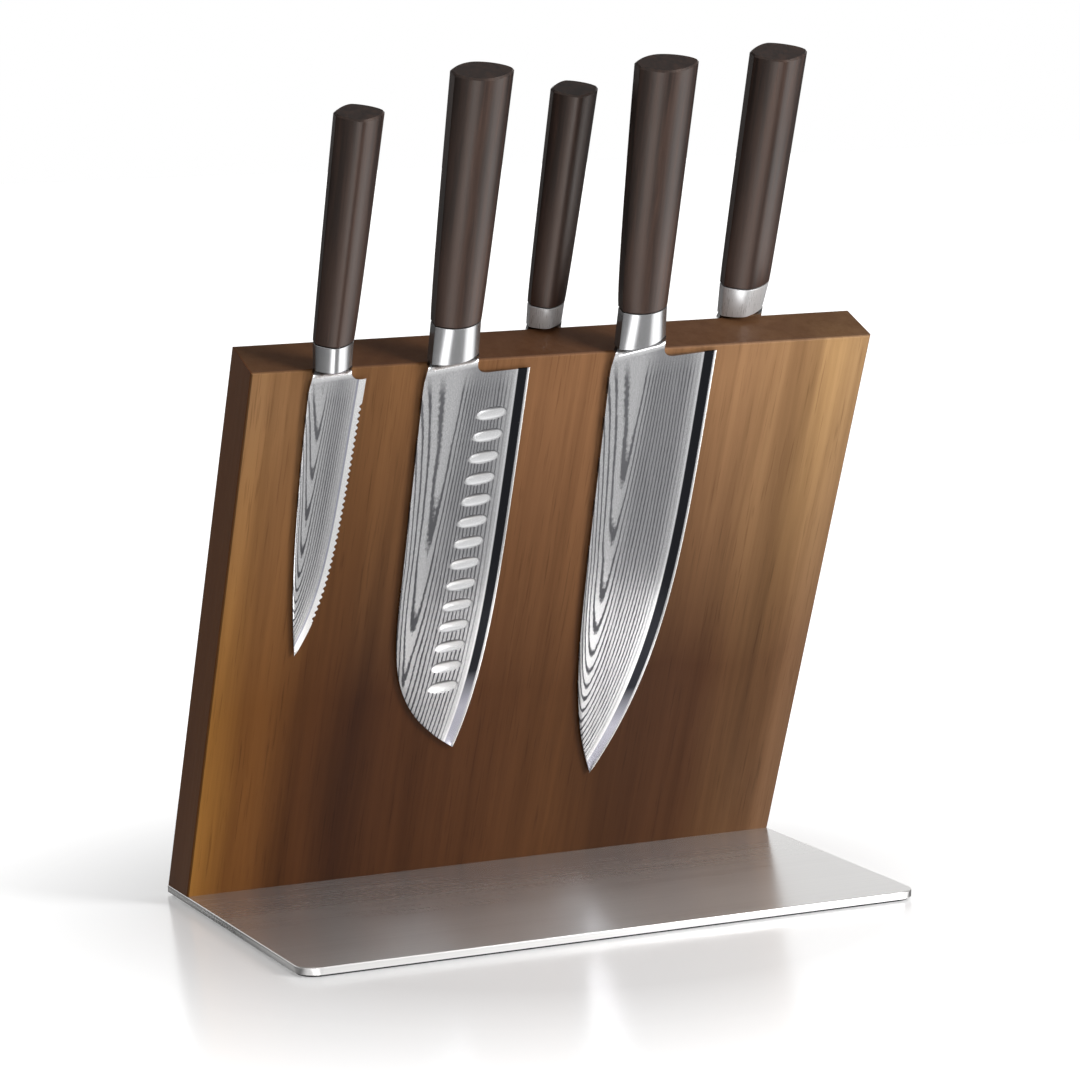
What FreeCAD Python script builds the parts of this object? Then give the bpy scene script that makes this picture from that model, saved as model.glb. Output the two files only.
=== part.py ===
import FreeCAD, Part
import math
import os

# Magnetic knife stand: a leaning wooden board with magnets sealed inside it, screwed to a
# steel base plate, with three knives held on its front face and two on its rear face.
# Millimetres. X runs to the right, Y to the rear, Z up. The origin is the centre of the
# underside of the base.

# ---- base ----
BASE_W = 272.0
BASE_D = 160.0
PLATE_T = 3.0
PLATE_CORNER_R = 9.0
PLATE_EDGE_R = 0.5
PAD_T = 1.0
PAD_INSET = 1.5

# ---- board ----
LEAN_DEG = 23.25
BOARD_W = 272.0
BOARD_H = 247.0
BOARD_T = 23.0
BOARD_EDGE = 0.8
STAVES = 5

# ---- magnets and keepers, inside the board ----
MAGNET_L = 44.0
MAGNET_H = 20.0
MAGNET_T = 8.0
MAGNET_PLAY = 0.3
KEEPER_T = 2.4
KEEPER_H = 24.0
KEEPER_L = 256.0
ROWS = {"upper": 205.0, "lower": 128.0}

# ---- screws that hold the board down ----
SCREW_X = [-102.0, -34.0, 34.0, 102.0]
SCREW_FORWARD = 2.0
SCREW_D = 4.9
SCREW_HOLE_D = 5.5
SCREW_HEAD_D = 10.0
SCREW_HEAD_H = 2.5
SCREW_HEAD_PLAY = 0.1
SCREW_L = 14.0
SOCKET_AF = 3.0
SOCKET_DEEP = 1.6
INSERT_D = 8.0
INSERT_BORE_D = 5.0
INSERT_L = 12.0

# ---- what every knife shares ----
BLADE_GAP = 0.2
TANG_T = 2.4
TANG_LEN = 70.0
TANG_SHARE = 0.5
SHOULDER_H = 4.4
SHOULDER_LOW = 0.4
SHOULDER_FULL = 0.27
SHOULDER_MID_H = 0.35
SHOULDER_MID_RISE = 0.16
NECK_STEP = 1.6
NECK_SHARE = 0.9
CHOIL_R = 4.0
BLADE_TAPER = 0.55
EDGE_HALF_T = 0.06
BEVEL_HALF_T = 0.32
BEVEL_MOST = 0.3
MID_SHARE = 0.45
MID_THICK = 0.9
BLADE_STATIONS = 18
STATION_EASE = 1.6
TIP_BLUNT = 0.5
BOLSTER_SLIM = 0.8
EDGE_CHAMFER = 1.2
EDGE_RISE = 0.3
EDGE_FALL = 0.9
BUTT_EDGE = 0.7
HANDLE_SWELL = 0.65
HANDLE_STATIONS = 5

# ---- solids used only to cut others, and the tolerance for picking edges ----
CUT_REACH = 40.0
CUT_TOP = 220.0
OVERLAP = 1.0
NEAR = 0.01

# ---- the knives ----
# face: which side of the board; x, up: where the spine meets the bolster, on the board's face;
# tilt: degrees the knife leans to the left in the plane of the board.
# Blade outline, in distance d from the bolster towards the tip: the spine is straight as far
# as spine_from and then drops by spine_drop with power spine_pow; the edge is edge_w from the
# spine line, tapers by edge_taper per millimetre and closes to the tip with power edge_pow.
# Bolster and handle: left and right sides at the lower end, the joint and the butt, and the
# thickness at the joint and the butt.
KNIVES = {
    "utility": {
        "face": "front", "x": -112.2, "up": 247.8, "tilt": 1.5, "travel": 150.0,
        "length": 132.5, "heel": 6.2, "spine_t": 1.9,
        "spine_from": 3.0, "spine_drop": 5.8, "spine_pow": 3.2,
        "edge_w": 24.2, "edge_taper": 0.0575, "edge_from": 17.0, "edge_pow": 5.0, "bevel": 3.0,
        "bolster": (1.6, 17.2), "slant": 0.7, "joint_z": 11.4, "joint": (0.4, 16.8),
        "butt_z": 108.6, "butt": (-0.8, 19.2), "thick": (12.2, 15.7), "flat": 1.9, "bulge": 0.62,
    },
    "santoku": {
        "face": "front", "x": -64.1, "up": 248.0, "tilt": 2.2, "travel": 205.0,
        "length": 186.5, "heel": 7.0, "spine_t": 2.1,
        "spine_from": 99.0, "spine_drop": 31.2, "spine_pow": 4.0,
        "edge_w": 45.6, "edge_taper": 0.0177, "edge_from": 0.0, "edge_pow": 5.0, "bevel": 1.2,
        "bolster": (1.7, 22.4), "slant": 2.0, "joint_z": 16.7, "joint": (1.5, 21.8),
        "butt_z": 123.9, "butt": (-1.6, 23.5), "thick": (12.6, 17.0), "flat": 2.5, "bulge": 0.85,
    },
    "chef": {
        "face": "front", "x": 16.5, "up": 249.4, "tilt": 3.3, "travel": 225.0,
        "length": 209.0, "heel": 6.8, "spine_t": 2.2,
        "spine_from": 46.0, "spine_drop": 12.6, "spine_pow": 5.0,
        "edge_w": 47.5, "edge_taper": 0.033, "edge_from": 0.0, "edge_pow": 4.1, "bevel": 1.2,
        "bolster": (2.0, 23.2), "slant": 3.0, "joint_z": 16.7, "joint": (2.0, 22.2),
        "butt_z": 123.6, "butt": (-3.2, 22.9), "thick": (12.4, 16.6), "flat": 2.5, "bulge": 0.85,
    },
    "paring": {
        "face": "rear", "x": -10.9, "up": 247.9, "tilt": 1.9, "travel": 110.0,
        "length": 92.0, "heel": 5.5, "spine_t": 1.7,
        "spine_from": 20.0, "spine_drop": 6.5, "spine_pow": 2.4,
        "edge_w": 21.0, "edge_taper": 0.045, "edge_from": 10.0, "edge_pow": 3.6, "bevel": 1.0,
        "bolster": (1.2, 16.0), "slant": 0.6, "joint_z": 9.5, "joint": (0.6, 16.2),
        "butt_z": 103.8, "butt": (-1.1, 18.4), "thick": (11.4, 15.6), "flat": 1.9, "bulge": 0.62,
    },
    "bread": {
        "face": "rear", "x": 74.2, "up": 247.9, "tilt": 2.5, "travel": 225.0,
        "length": 208.0, "heel": 7.0, "spine_t": 2.1,
        "spine_from": 90.0, "spine_drop": 13.0, "spine_pow": 2.6,
        "edge_w": 35.0, "edge_taper": 0.012, "edge_from": 90.0, "edge_pow": 3.6, "bevel": 3.0,
        "bolster": (2.6, 22.0), "slant": 1.6, "joint_z": 13.3, "joint": (1.9, 23.4),
        "butt_z": 116.6, "butt": (0.4, 24.8), "thick": (14.0, 18.4), "flat": 2.2, "bulge": 0.7,
    },
}

# ---- scalloped edges: first and last distance from the bolster, pitch and depth ----
SERRATIONS = {
    "utility": (17.0, 117.0, 2.76, 0.9),
    "bread": (12.0, 198.0, 6.0, 1.6),
}

# ---- hollows ground into the santoku's faces ----
HOLLOWS = 14
HOLLOW_FIRST = (30.7, 26.0)
HOLLOW_LAST = (23.4, 155.0)
HOLLOW_LONG = 13.6
HOLLOW_WIDE = 5.6
HOLLOW_DEEP = 0.35
HOLLOW_TURN_DEG = 4.0

LEAN = math.radians(LEAN_DEG)
BASE_H = PAD_T + PLATE_T
BOARD_FOOT_Y = BASE_D / 2 - BOARD_T / math.cos(LEAN)
STAVE_W = BOARD_W / STAVES
V = FreeCAD.Vector


def export(shape, node):
    shape.exportStep("parts/" + node + ".step")


def box(x0, x1, y0, y1, z0, z1):
    return Part.makeBox(x1 - x0, y1 - y0, z1 - z0, V(x0, y0, z0))


def lean_back_to_world():
    """Placement of the board's own frame: X across, Y into the board, Z up its face."""
    turn = FreeCAD.Rotation(V(1, 0, 0), LEAN_DEG)
    return FreeCAD.Placement(V(0, BOARD_FOOT_Y, BASE_H), turn)


def to_world(shape):
    shape.Placement = lean_back_to_world().multiply(shape.Placement)
    return shape


# ---------------------------------------------------------------- base

def plate_blank(inset, z0, z1):
    """Base outline with rounded front corners, drawn in by inset, between two heights."""
    w = BASE_W / 2 - inset
    d = BASE_D / 2 - inset
    blank = box(-w, w, -d, d, z0, z1)
    corners = []
    for edge in blank.Edges:
        middle = edge.CenterOfMass
        if abs(middle.y + d) < NEAR and abs(abs(middle.x) - w) < NEAR:
            corners.append(edge)
    return blank.makeFillet(PLATE_CORNER_R - inset, corners)


def screw_y():
    """The screws stand in the board's foot, a little forward of its middle."""
    return BOARD_FOOT_Y + BOARD_T / math.cos(LEAN) / 2 - SCREW_FORWARD


def screw_hole(x):
    y = screw_y()
    shank = Part.makeCylinder(SCREW_HOLE_D / 2, PLATE_T, V(x, y, PAD_T))
    sink = Part.makeCone(SCREW_HEAD_D / 2, SCREW_HOLE_D / 2, SCREW_HEAD_H, V(x, y, PAD_T))
    return shank.fuse(sink)


def make_base_plate():
    plate = plate_blank(0.0, PAD_T, BASE_H)
    rim = [e for e in plate.Edges if abs(e.CenterOfMass.z - BASE_H) < NEAR]
    front_rim = [e for e in rim if e.CenterOfMass.y < BASE_D / 2 - NEAR]
    plate = plate.makeFillet(PLATE_EDGE_R, front_rim)
    for x in SCREW_X:
        plate = plate.cut(screw_hole(x))
    return plate


def make_pad():
    return plate_blank(PAD_INSET, 0.0, PAD_T)


def hex_socket(x, y):
    corner_r = SOCKET_AF / math.sqrt(3.0)
    points = []
    for i in range(7):
        angle = math.tau * i / 6
        points.append(V(x + corner_r * math.cos(angle), y + corner_r * math.sin(angle), PAD_T))
    return Part.Face(Part.makePolygon(points)).extrude(V(0, 0, SOCKET_DEEP))


def make_screws():
    screws = []
    y = screw_y()
    head_r = SCREW_HEAD_D / 2 - SCREW_HEAD_PLAY
    for x in SCREW_X:
        head = Part.makeCone(head_r, SCREW_D / 2, SCREW_HEAD_H, V(x, y, PAD_T))
        shank = Part.makeCylinder(SCREW_D / 2, SCREW_L, V(x, y, PAD_T))
        screws.append(head.fuse(shank).cut(hex_socket(x, y)))
    return Part.makeCompound(screws)


def make_inserts():
    inserts = []
    for x in SCREW_X:
        body = Part.makeCylinder(INSERT_D / 2, INSERT_L, V(x, screw_y(), BASE_H))
        bore = Part.makeCylinder(INSERT_BORE_D / 2, INSERT_L, V(x, screw_y(), BASE_H))
        inserts.append(body.cut(bore))
    return Part.makeCompound(inserts)


# ---------------------------------------------------------------- board

def board_blank():
    """The whole board in its own frame, with its foot cut level and its edges eased."""
    half = BOARD_W / 2
    below = BOARD_T * math.tan(LEAN)
    points = [V(-half, 0, 0), V(-half, 0, BOARD_H), V(-half, BOARD_T, BOARD_H),
              V(-half, BOARD_T, -below), V(-half, 0, 0)]
    blank = Part.Face(Part.makePolygon(points)).extrude(V(BOARD_W, 0, 0))
    eased = []
    for edge in blank.Edges:
        middle = edge.CenterOfMass
        on_top = abs(middle.z - BOARD_H) < NEAR
        upright = abs(abs(middle.x) - half) < NEAR and edge.Length > BOARD_H - NEAR
        if (on_top and edge.Length > BOARD_W - NEAR) or upright:
            eased.append(edge)
    return blank.makeChamfer(BOARD_EDGE, eased)


def stave_x(index):
    return -BOARD_W / 2 + STAVE_W * (index + 0.5)


def magnet_y(face):
    """Near and far sides of a magnet, which lies against the keeper on the glue line."""
    middle = BOARD_T / 2
    near = KEEPER_T / 2
    far = near + MAGNET_T
    if face == "front":
        return (middle - far, middle - near)
    return (middle + near, middle + far)


def magnet_box(index, row, face, play):
    x = stave_x(index)
    z = ROWS[row]
    y0, y1 = magnet_y(face)
    half_l = MAGNET_L / 2 + play
    half_h = MAGNET_H / 2 + play
    return box(x - half_l, x + half_l, y0, y1, z - half_h, z + half_h)


def keeper_box(row, play):
    half_l = KEEPER_L / 2 + play
    half_h = KEEPER_H / 2 + play
    middle = BOARD_T / 2
    z = ROWS[row]
    return box(-half_l, half_l, middle - KEEPER_T / 2, middle + KEEPER_T / 2,
               z - half_h, z + half_h)


def insert_holes_in_board_frame():
    holes = []
    back = lean_back_to_world().inverse()
    for x in SCREW_X:
        hole = Part.makeCylinder(INSERT_D / 2, INSERT_L, V(x, screw_y(), BASE_H))
        hole.Placement = back.multiply(hole.Placement)
        holes.append(hole)
    return Part.makeCompound(holes)


def make_staves():
    """Each stave is one strip of one half of the board, hollowed for its magnets."""
    blank = board_blank()
    keepers = Part.makeCompound([keeper_box(row, MAGNET_PLAY) for row in ROWS])
    holes = insert_holes_in_board_frame()
    low = -BOARD_T
    for face, y0, y1 in (("front", 0.0, BOARD_T / 2), ("rear", BOARD_T / 2, BOARD_T)):
        for i in range(STAVES):
            x = stave_x(i)
            strip = box(x - STAVE_W / 2, x + STAVE_W / 2, y0, y1, low, BOARD_H)
            stave = blank.common(strip).cut(keepers).cut(holes)
            for row in ROWS:
                stave = stave.cut(magnet_box(i, row, face, MAGNET_PLAY))
            export(to_world(stave), face + "_stave_" + str(i + 1))


def make_magnets():
    for face in ("front", "rear"):
        for row in ROWS:
            for i in range(STAVES):
                magnet = magnet_box(i, row, face, 0.0)
                export(to_world(magnet), face + "_magnet_" + row + "_" + str(i + 1))


def make_keepers():
    for row in ROWS:
        export(to_world(keeper_box(row, 0.0)), "keeper_strip_" + row)


# ---------------------------------------------------------------- knives
# A knife's own frame: X from the spine line to the edge, Y into the board with 0 in the
# middle of the blade, Z up towards the butt with 0 where the spine meets the bolster.

def spine_x(k, d):
    t = max(0.0, (d - k["spine_from"]) / (k["length"] - k["spine_from"]))
    return k["spine_drop"] * t ** k["spine_pow"]


def edge_x(k, d):
    t = max(0.0, (d - k["edge_from"]) / (k["length"] - k["edge_from"]))
    at_tip = k["edge_w"] - k["edge_taper"] * k["length"]
    close = (at_tip - k["spine_drop"]) * t ** k["edge_pow"]
    return k["edge_w"] - k["edge_taper"] * d - close


def taper_at(k, d):
    """Share of the full thickness left at a distance along the blade."""
    return 1.0 - BLADE_TAPER * d / k["length"]


def blade_section(k, d):
    """Closed outline of the blade across its length: thick spine, thin edge, fine bevel."""
    s = spine_x(k, d)
    e = edge_x(k, d)
    w = e - s
    taper = taper_at(k, d)
    half = k["spine_t"] / 2 * taper
    bevel = min(k["bevel"], BEVEL_MOST * w)
    sides = [(s, half), (s + MID_SHARE * w, MID_THICK * half),
             (e - bevel, BEVEL_HALF_T * taper), (e, EDGE_HALF_T)]
    points = [V(x, -h, -d) for x, h in sides]
    points += [V(x, h, -d) for x, h in reversed(sides)]
    points.append(points[0])
    return Part.makePolygon(points)


def blade_body(k):
    """The ground blade from the heel to the tip, with stations closer towards the tip."""
    first = k["heel"]
    last = k["length"] - TIP_BLUNT
    sections = []
    for i in range(BLADE_STATIONS):
        t = i / (BLADE_STATIONS - 1)
        ease = 1.0 - (1.0 - t) ** STATION_EASE
        sections.append(blade_section(k, first + (last - first) * ease))
    return Part.makeLoft(sections, True, True)


def neck(k):
    """Flat steel between the heel and the bolster, with the rounded choil on its edge side."""
    left, right = k["bolster"]
    heel = -k["heel"]
    below = heel - OVERLAP
    arc_mid = math.sqrt(0.5) * CHOIL_R
    centre = V(right + CHOIL_R, 0, heel + CHOIL_R)
    top_left = V(left, 0, 0)
    top_right = V(right, 0, k["slant"])
    arc_start = V(right, 0, heel + CHOIL_R)
    arc_middle = centre + V(-arc_mid, 0, -arc_mid)
    arc_end = V(right + CHOIL_R, 0, heel)
    corner = V(right + CHOIL_R, 0, below)
    edges = [
        Part.makeLine(V(0, 0, below), V(0, 0, -NECK_STEP)),
        Part.makeLine(V(0, 0, -NECK_STEP), top_left),
        Part.makeLine(top_left, top_right),
        Part.makeLine(top_right, arc_start),
        Part.Arc(arc_start, arc_middle, arc_end).toShape(),
        Part.makeLine(arc_end, corner),
        Part.makeLine(corner, V(0, 0, below)),
    ]
    thick = NECK_SHARE * k["spine_t"]
    outline = Part.Face(Part.Wire(edges))
    outline.translate(V(0, -thick / 2, 0))
    return outline.extrude(V(0, thick, 0))


def shoulder(k):
    """Concave ramp from the blade's flat up to the bolster, cut off by the bolster's slant."""
    left, right = k["bolster"]
    slim = SHOULDER_LOW * k["spine_t"]
    full = SHOULDER_FULL * k["thick"][0]
    waist = slim + SHOULDER_MID_RISE * (full - slim)
    top = k["slant"] + NEAR
    edges = []
    for side in (-1, 1):
        low = V(left, side * slim, -SHOULDER_H)
        mid = V(left, side * waist, -SHOULDER_MID_H * SHOULDER_H)
        high = V(left, side * full, 0.0)
        edges.append(Part.Arc(low, mid, high).toShape())
        edges.append(Part.makeLine(high, V(left, side * full, top)))
    edges.append(Part.makeLine(V(left, -slim, -SHOULDER_H), V(left, slim, -SHOULDER_H)))
    edges.append(Part.makeLine(V(left, -full, top), V(left, full, top)))
    ramp = Part.Face(Part.Wire(Part.__sortEdges__(edges))).extrude(V(right - left, 0, 0))
    return ramp.cut(above_slant(k))


def above_slant(k):
    """Everything above the bolster's slanted lower end."""
    left, right = k["bolster"]
    slope = k["slant"] / (right - left)
    x0 = left - CUT_REACH
    x1 = left + CUT_REACH
    rise = slope * CUT_REACH
    points = [V(x0, -CUT_REACH, -rise), V(x1, -CUT_REACH, rise), V(x1, -CUT_REACH, CUT_TOP),
              V(x0, -CUT_REACH, CUT_TOP), V(x0, -CUT_REACH, -rise)]
    return Part.Face(Part.makePolygon(points)).extrude(V(0, 2 * CUT_REACH, 0))


def tang_box(k):
    """The tang runs from inside the neck through the bolster and into the handle."""
    middle = (k["joint"][0] + k["joint"][1]) / 2
    half = TANG_SHARE * (k["joint"][1] - k["joint"][0]) / 2
    return box(middle - half, middle + half, -TANG_T / 2, TANG_T / 2, -OVERLAP, TANG_LEN)


def cut_serrations(k, name, blade):
    first, last, pitch, deep = SERRATIONS[name]
    radius = (pitch * pitch / 4 + deep * deep) / (2 * deep)
    cutters = []
    count = int((last - first) / pitch)
    for i in range(count + 1):
        d = first + pitch * i
        x = edge_x(k, d) - deep + radius
        start = V(x, -CUT_REACH / 2, -d)
        cutters.append(Part.makeCylinder(radius, CUT_REACH, start, V(0, 1, 0)))
    return blade.cut(Part.makeCompound(cutters))


def hollow_cutter(k, x, d, side):
    """A ring whose rim just dips into the blade's face and leaves a long shallow oval."""
    half_long = HOLLOW_LONG / 2
    half_wide = HOLLOW_WIDE / 2
    reach = (half_long ** 2 + HOLLOW_DEEP ** 2) / (2 * HOLLOW_DEEP)
    rim = (half_wide ** 2 + HOLLOW_DEEP ** 2) / (2 * HOLLOW_DEEP)
    face = half_thickness(k, x, d)
    centre = V(x, side * (face + reach - HOLLOW_DEEP), -d)
    ring = Part.makeTorus(reach - rim, rim)
    ring.rotate(V(0, 0, 0), V(0, 1, 0), -HOLLOW_TURN_DEG)
    ring.translate(centre)
    return ring


def half_thickness(k, x, d):
    """Half the blade's thickness on its middle flank, at x from the spine line."""
    s = spine_x(k, d)
    w = edge_x(k, d) - s
    taper = taper_at(k, d)
    inner = MID_THICK * k["spine_t"] / 2 * taper
    outer = BEVEL_HALF_T * taper
    x0 = s + MID_SHARE * w
    x1 = s + w - k["bevel"]
    share = max(0.0, (x - x0) / (x1 - x0))
    return inner + (outer - inner) * share


def cut_hollows(k, blade):
    for side in (-1, 1):
        rings = []
        for i in range(HOLLOWS):
            t = i / (HOLLOWS - 1)
            x = HOLLOW_FIRST[0] + (HOLLOW_LAST[0] - HOLLOW_FIRST[0]) * t
            d = HOLLOW_FIRST[1] + (HOLLOW_LAST[1] - HOLLOW_FIRST[1]) * t
            rings.append(hollow_cutter(k, x, d, side))
        blade = blade.cut(Part.makeCompound(rings))
    return blade


def make_blade(name, k):
    blade = blade_body(k)
    if name in SERRATIONS:
        blade = cut_serrations(k, name, blade)
    if name == "santoku":
        blade = cut_hollows(k, blade)
    blade = blade.fuse(neck(k)).fuse(shoulder(k)).fuse(tang_box(k))
    return blade


def handle_section(left, right, thick, flat, bulge, z):
    """Flat spine side, two bulged cheeks that meet in a soft ridge, eased edge side."""
    ridge = (left + right) / 2
    half = thick / 2
    end = right - EDGE_CHAMFER
    edges = []
    for side in (-1, 1):
        spine = V(left, side * flat, z)
        top = V(ridge, side * half, z)
        edge = V(end, side * (flat + EDGE_RISE), z)
        corner = V(right, side * (flat - EDGE_FALL), z)
        for a, b in ((spine, top), (top, edge)):
            chord = b.sub(a)
            out = V(-chord.y, chord.x, 0).normalize().multiply(side * bulge)
            middle = a.add(b).multiply(0.5).add(out)
            edges.append(Part.Arc(a, middle, b).toShape())
        edges.append(Part.makeLine(edge, corner))
    edges.append(Part.makeLine(V(left, -flat, z), V(left, flat, z)))
    narrow = flat - EDGE_FALL
    edges.append(Part.makeLine(V(right, -narrow, z), V(right, narrow, z)))
    return Part.Wire(Part.__sortEdges__(edges))


def sides_at(k, z):
    """Left side, right side and thickness of the bolster or handle at height z."""
    joint = k["joint_z"]
    if z <= joint:
        t = max(0.0, z / joint)
        left = k["bolster"][0] + (k["joint"][0] - k["bolster"][0]) * t
        right = k["bolster"][1] + (k["joint"][1] - k["bolster"][1]) * t
        return left, right, k["thick"][0] * (BOLSTER_SLIM + (1.0 - BOLSTER_SLIM) * t)
    t = (z - joint) / (k["butt_z"] - joint)
    swell = t ** HANDLE_SWELL
    left = k["joint"][0] + (k["butt"][0] - k["joint"][0]) * swell
    right = k["joint"][1] + (k["butt"][1] - k["joint"][1]) * swell
    return left, right, k["thick"][0] + (k["thick"][1] - k["thick"][0]) * t


def section_at(k, z):
    left, right, thick = sides_at(k, z)
    return handle_section(left, right, thick, k["flat"], k["bulge"], z)


def make_bolster(k):
    joint = k["joint_z"]
    sleeve = Part.makeLoft([section_at(k, 0.0), section_at(k, joint)], True, True)
    sleeve = sleeve.common(above_slant(k))
    return sleeve.cut(tang_box(k))


def make_handle(k):
    joint = k["joint_z"]
    butt = k["butt_z"]
    sections = []
    for i in range(HANDLE_STATIONS):
        t = i / (HANDLE_STATIONS - 1)
        sections.append(section_at(k, joint + (butt - joint) * t))
    grip = Part.makeLoft(sections, True, False)
    rim = [e for e in grip.Edges if abs(e.BoundBox.ZMin - butt) < NEAR]
    grip = grip.makeChamfer(BUTT_EDGE, rim)
    return grip.cut(tang_box(k))


def knife_placement(k):
    """From the knife's own frame to the world: tilt it, set it on its face, lean it."""
    tilt = FreeCAD.Rotation(V(0, 1, 0), -k["tilt"])
    stand_off = BLADE_GAP + k["spine_t"] / 2
    y = -stand_off if k["face"] == "front" else BOARD_T + stand_off
    on_board = FreeCAD.Placement(V(k["x"], y, k["up"]), tilt)
    return lean_back_to_world().multiply(on_board)


def make_knives():
    for name, k in KNIVES.items():
        pieces = {
            "blade": make_blade(name, k),
            "bolster": make_bolster(k),
            "handle": make_handle(k),
        }
        for kind, shape in pieces.items():
            shape.Placement = knife_placement(k).multiply(shape.Placement)
            export(shape, name + "_" + kind)


def main():
    os.makedirs("parts", exist_ok=True)
    export(make_base_plate(), "base_plate")
    export(make_pad(), "non_slip_pad")
    export(make_screws(), "base_screws")
    export(make_inserts(), "threaded_inserts")
    make_staves()
    make_magnets()
    make_keepers()
    make_knives()


main()
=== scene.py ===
import math

import bmesh
import bpy
import numpy as np
from mathutils import Matrix, Vector


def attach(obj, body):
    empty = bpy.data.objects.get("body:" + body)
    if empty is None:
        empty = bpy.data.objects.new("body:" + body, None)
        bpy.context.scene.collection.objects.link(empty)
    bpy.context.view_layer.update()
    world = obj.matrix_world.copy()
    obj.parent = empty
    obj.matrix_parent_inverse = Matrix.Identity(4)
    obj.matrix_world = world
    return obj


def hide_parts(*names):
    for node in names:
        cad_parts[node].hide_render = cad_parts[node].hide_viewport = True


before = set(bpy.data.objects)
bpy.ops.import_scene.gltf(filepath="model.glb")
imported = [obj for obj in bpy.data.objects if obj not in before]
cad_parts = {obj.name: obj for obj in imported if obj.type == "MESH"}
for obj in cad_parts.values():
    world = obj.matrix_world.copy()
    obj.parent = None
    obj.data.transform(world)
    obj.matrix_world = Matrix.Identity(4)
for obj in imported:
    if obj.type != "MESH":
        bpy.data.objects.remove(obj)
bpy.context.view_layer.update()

MM = 0.001

# ---------------------------------------------------------------- sizes, in millimetres

LEAN = math.radians(23.25)
BASE_H = 4.0
BASE_D = 160.0
BOARD_W = 272.0
BOARD_H = 247.0
BOARD_T = 23.0
BOARD_FOOT_Y = BASE_D / 2 - BOARD_T / math.cos(LEAN)
PAD_T = 1.0
SCREW_FORWARD = 2.0
BLADE_GAP = 0.2

# The grind of a blade: half thicknesses at the edge and the bevel, how much thinner the tip is,
# the bevel's most share of the width, the flank's curve, the width and depth of the eased spine,
# and how far short of the tip the last row of quads stops.
EDGE_HALF_T = 0.06
BEVEL_HALF_T = 0.32
TIP_THINNING = 0.55
BEVEL_MOST = 0.3
GRIND_POWER = 1.6
SPINE_EASE_W = 0.35
SPINE_EASE_DEEP = 0.18
TIP_GAP = 0.25

# The neck: the choil's radius, the spine's lead, and the ramp up to the bolster with its height,
# its share of the bolster's thickness, its curve and how far in from the sides it is full.
CHOIL_R = 4.0
LEAD_RUN = 14.0
SHOULDER_H = 4.4
SHOULDER_SHARE = 0.27
SHOULDER_POWER = 1.6
SHOULDER_INWARD = 3.0

# The tang runs from inside the blade's neck up into the handle.
TANG_T = 2.4
TANG_LEN = 70.0
TANG_START = -1.0
TANG_SHARE = 0.5

# Layer lines: how round the loops turn back (in pitches), how wide the crest's extra rise is,
# and the fall towards the spine: least, gain along the blade, most and curve.
LOOP_ROUND = 1.3
CREST_WIDE = 12.0
FALL_LEAST = 0.2
FALL_GAIN = 1.3
FALL_MOST = 0.85
FALL_POWER = 1.8

# The painted shade on a flank: its run past the crest and up to the band, and the share of the
# length where it starts to lighten, and over which it does.
SHADE_RUN = 8.0
SHADE_EDGE_RUN = 7.0
SHADE_FROM = 0.35
SHADE_FADE = 0.40

# Quads of a blade: across the neck, from there out to the edge, and down the neck.
NECK_COLUMNS = 22
FLANK_COLUMNS = 30
NECK_ROWS = 26

# Grips: eased end of a handle and of a bolster, the handle's swell, the bolster's lower end as a
# share of its thickness, the cheeks' share of the way round, how far the ridge leans off the
# middle, and the curves of the section towards the spine and the edge.
GRIP_EDGE = 0.7
COLLAR_EDGE = 0.12
HANDLE_SWELL = 0.65
COLLAR_FOOT = 0.92
CHEEK_SHARE = 0.92
RIDGE_OFF = 0.1
SPINE_SIDE_POWER = 0.9
EDGE_SIDE_POWER = 0.62
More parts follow.
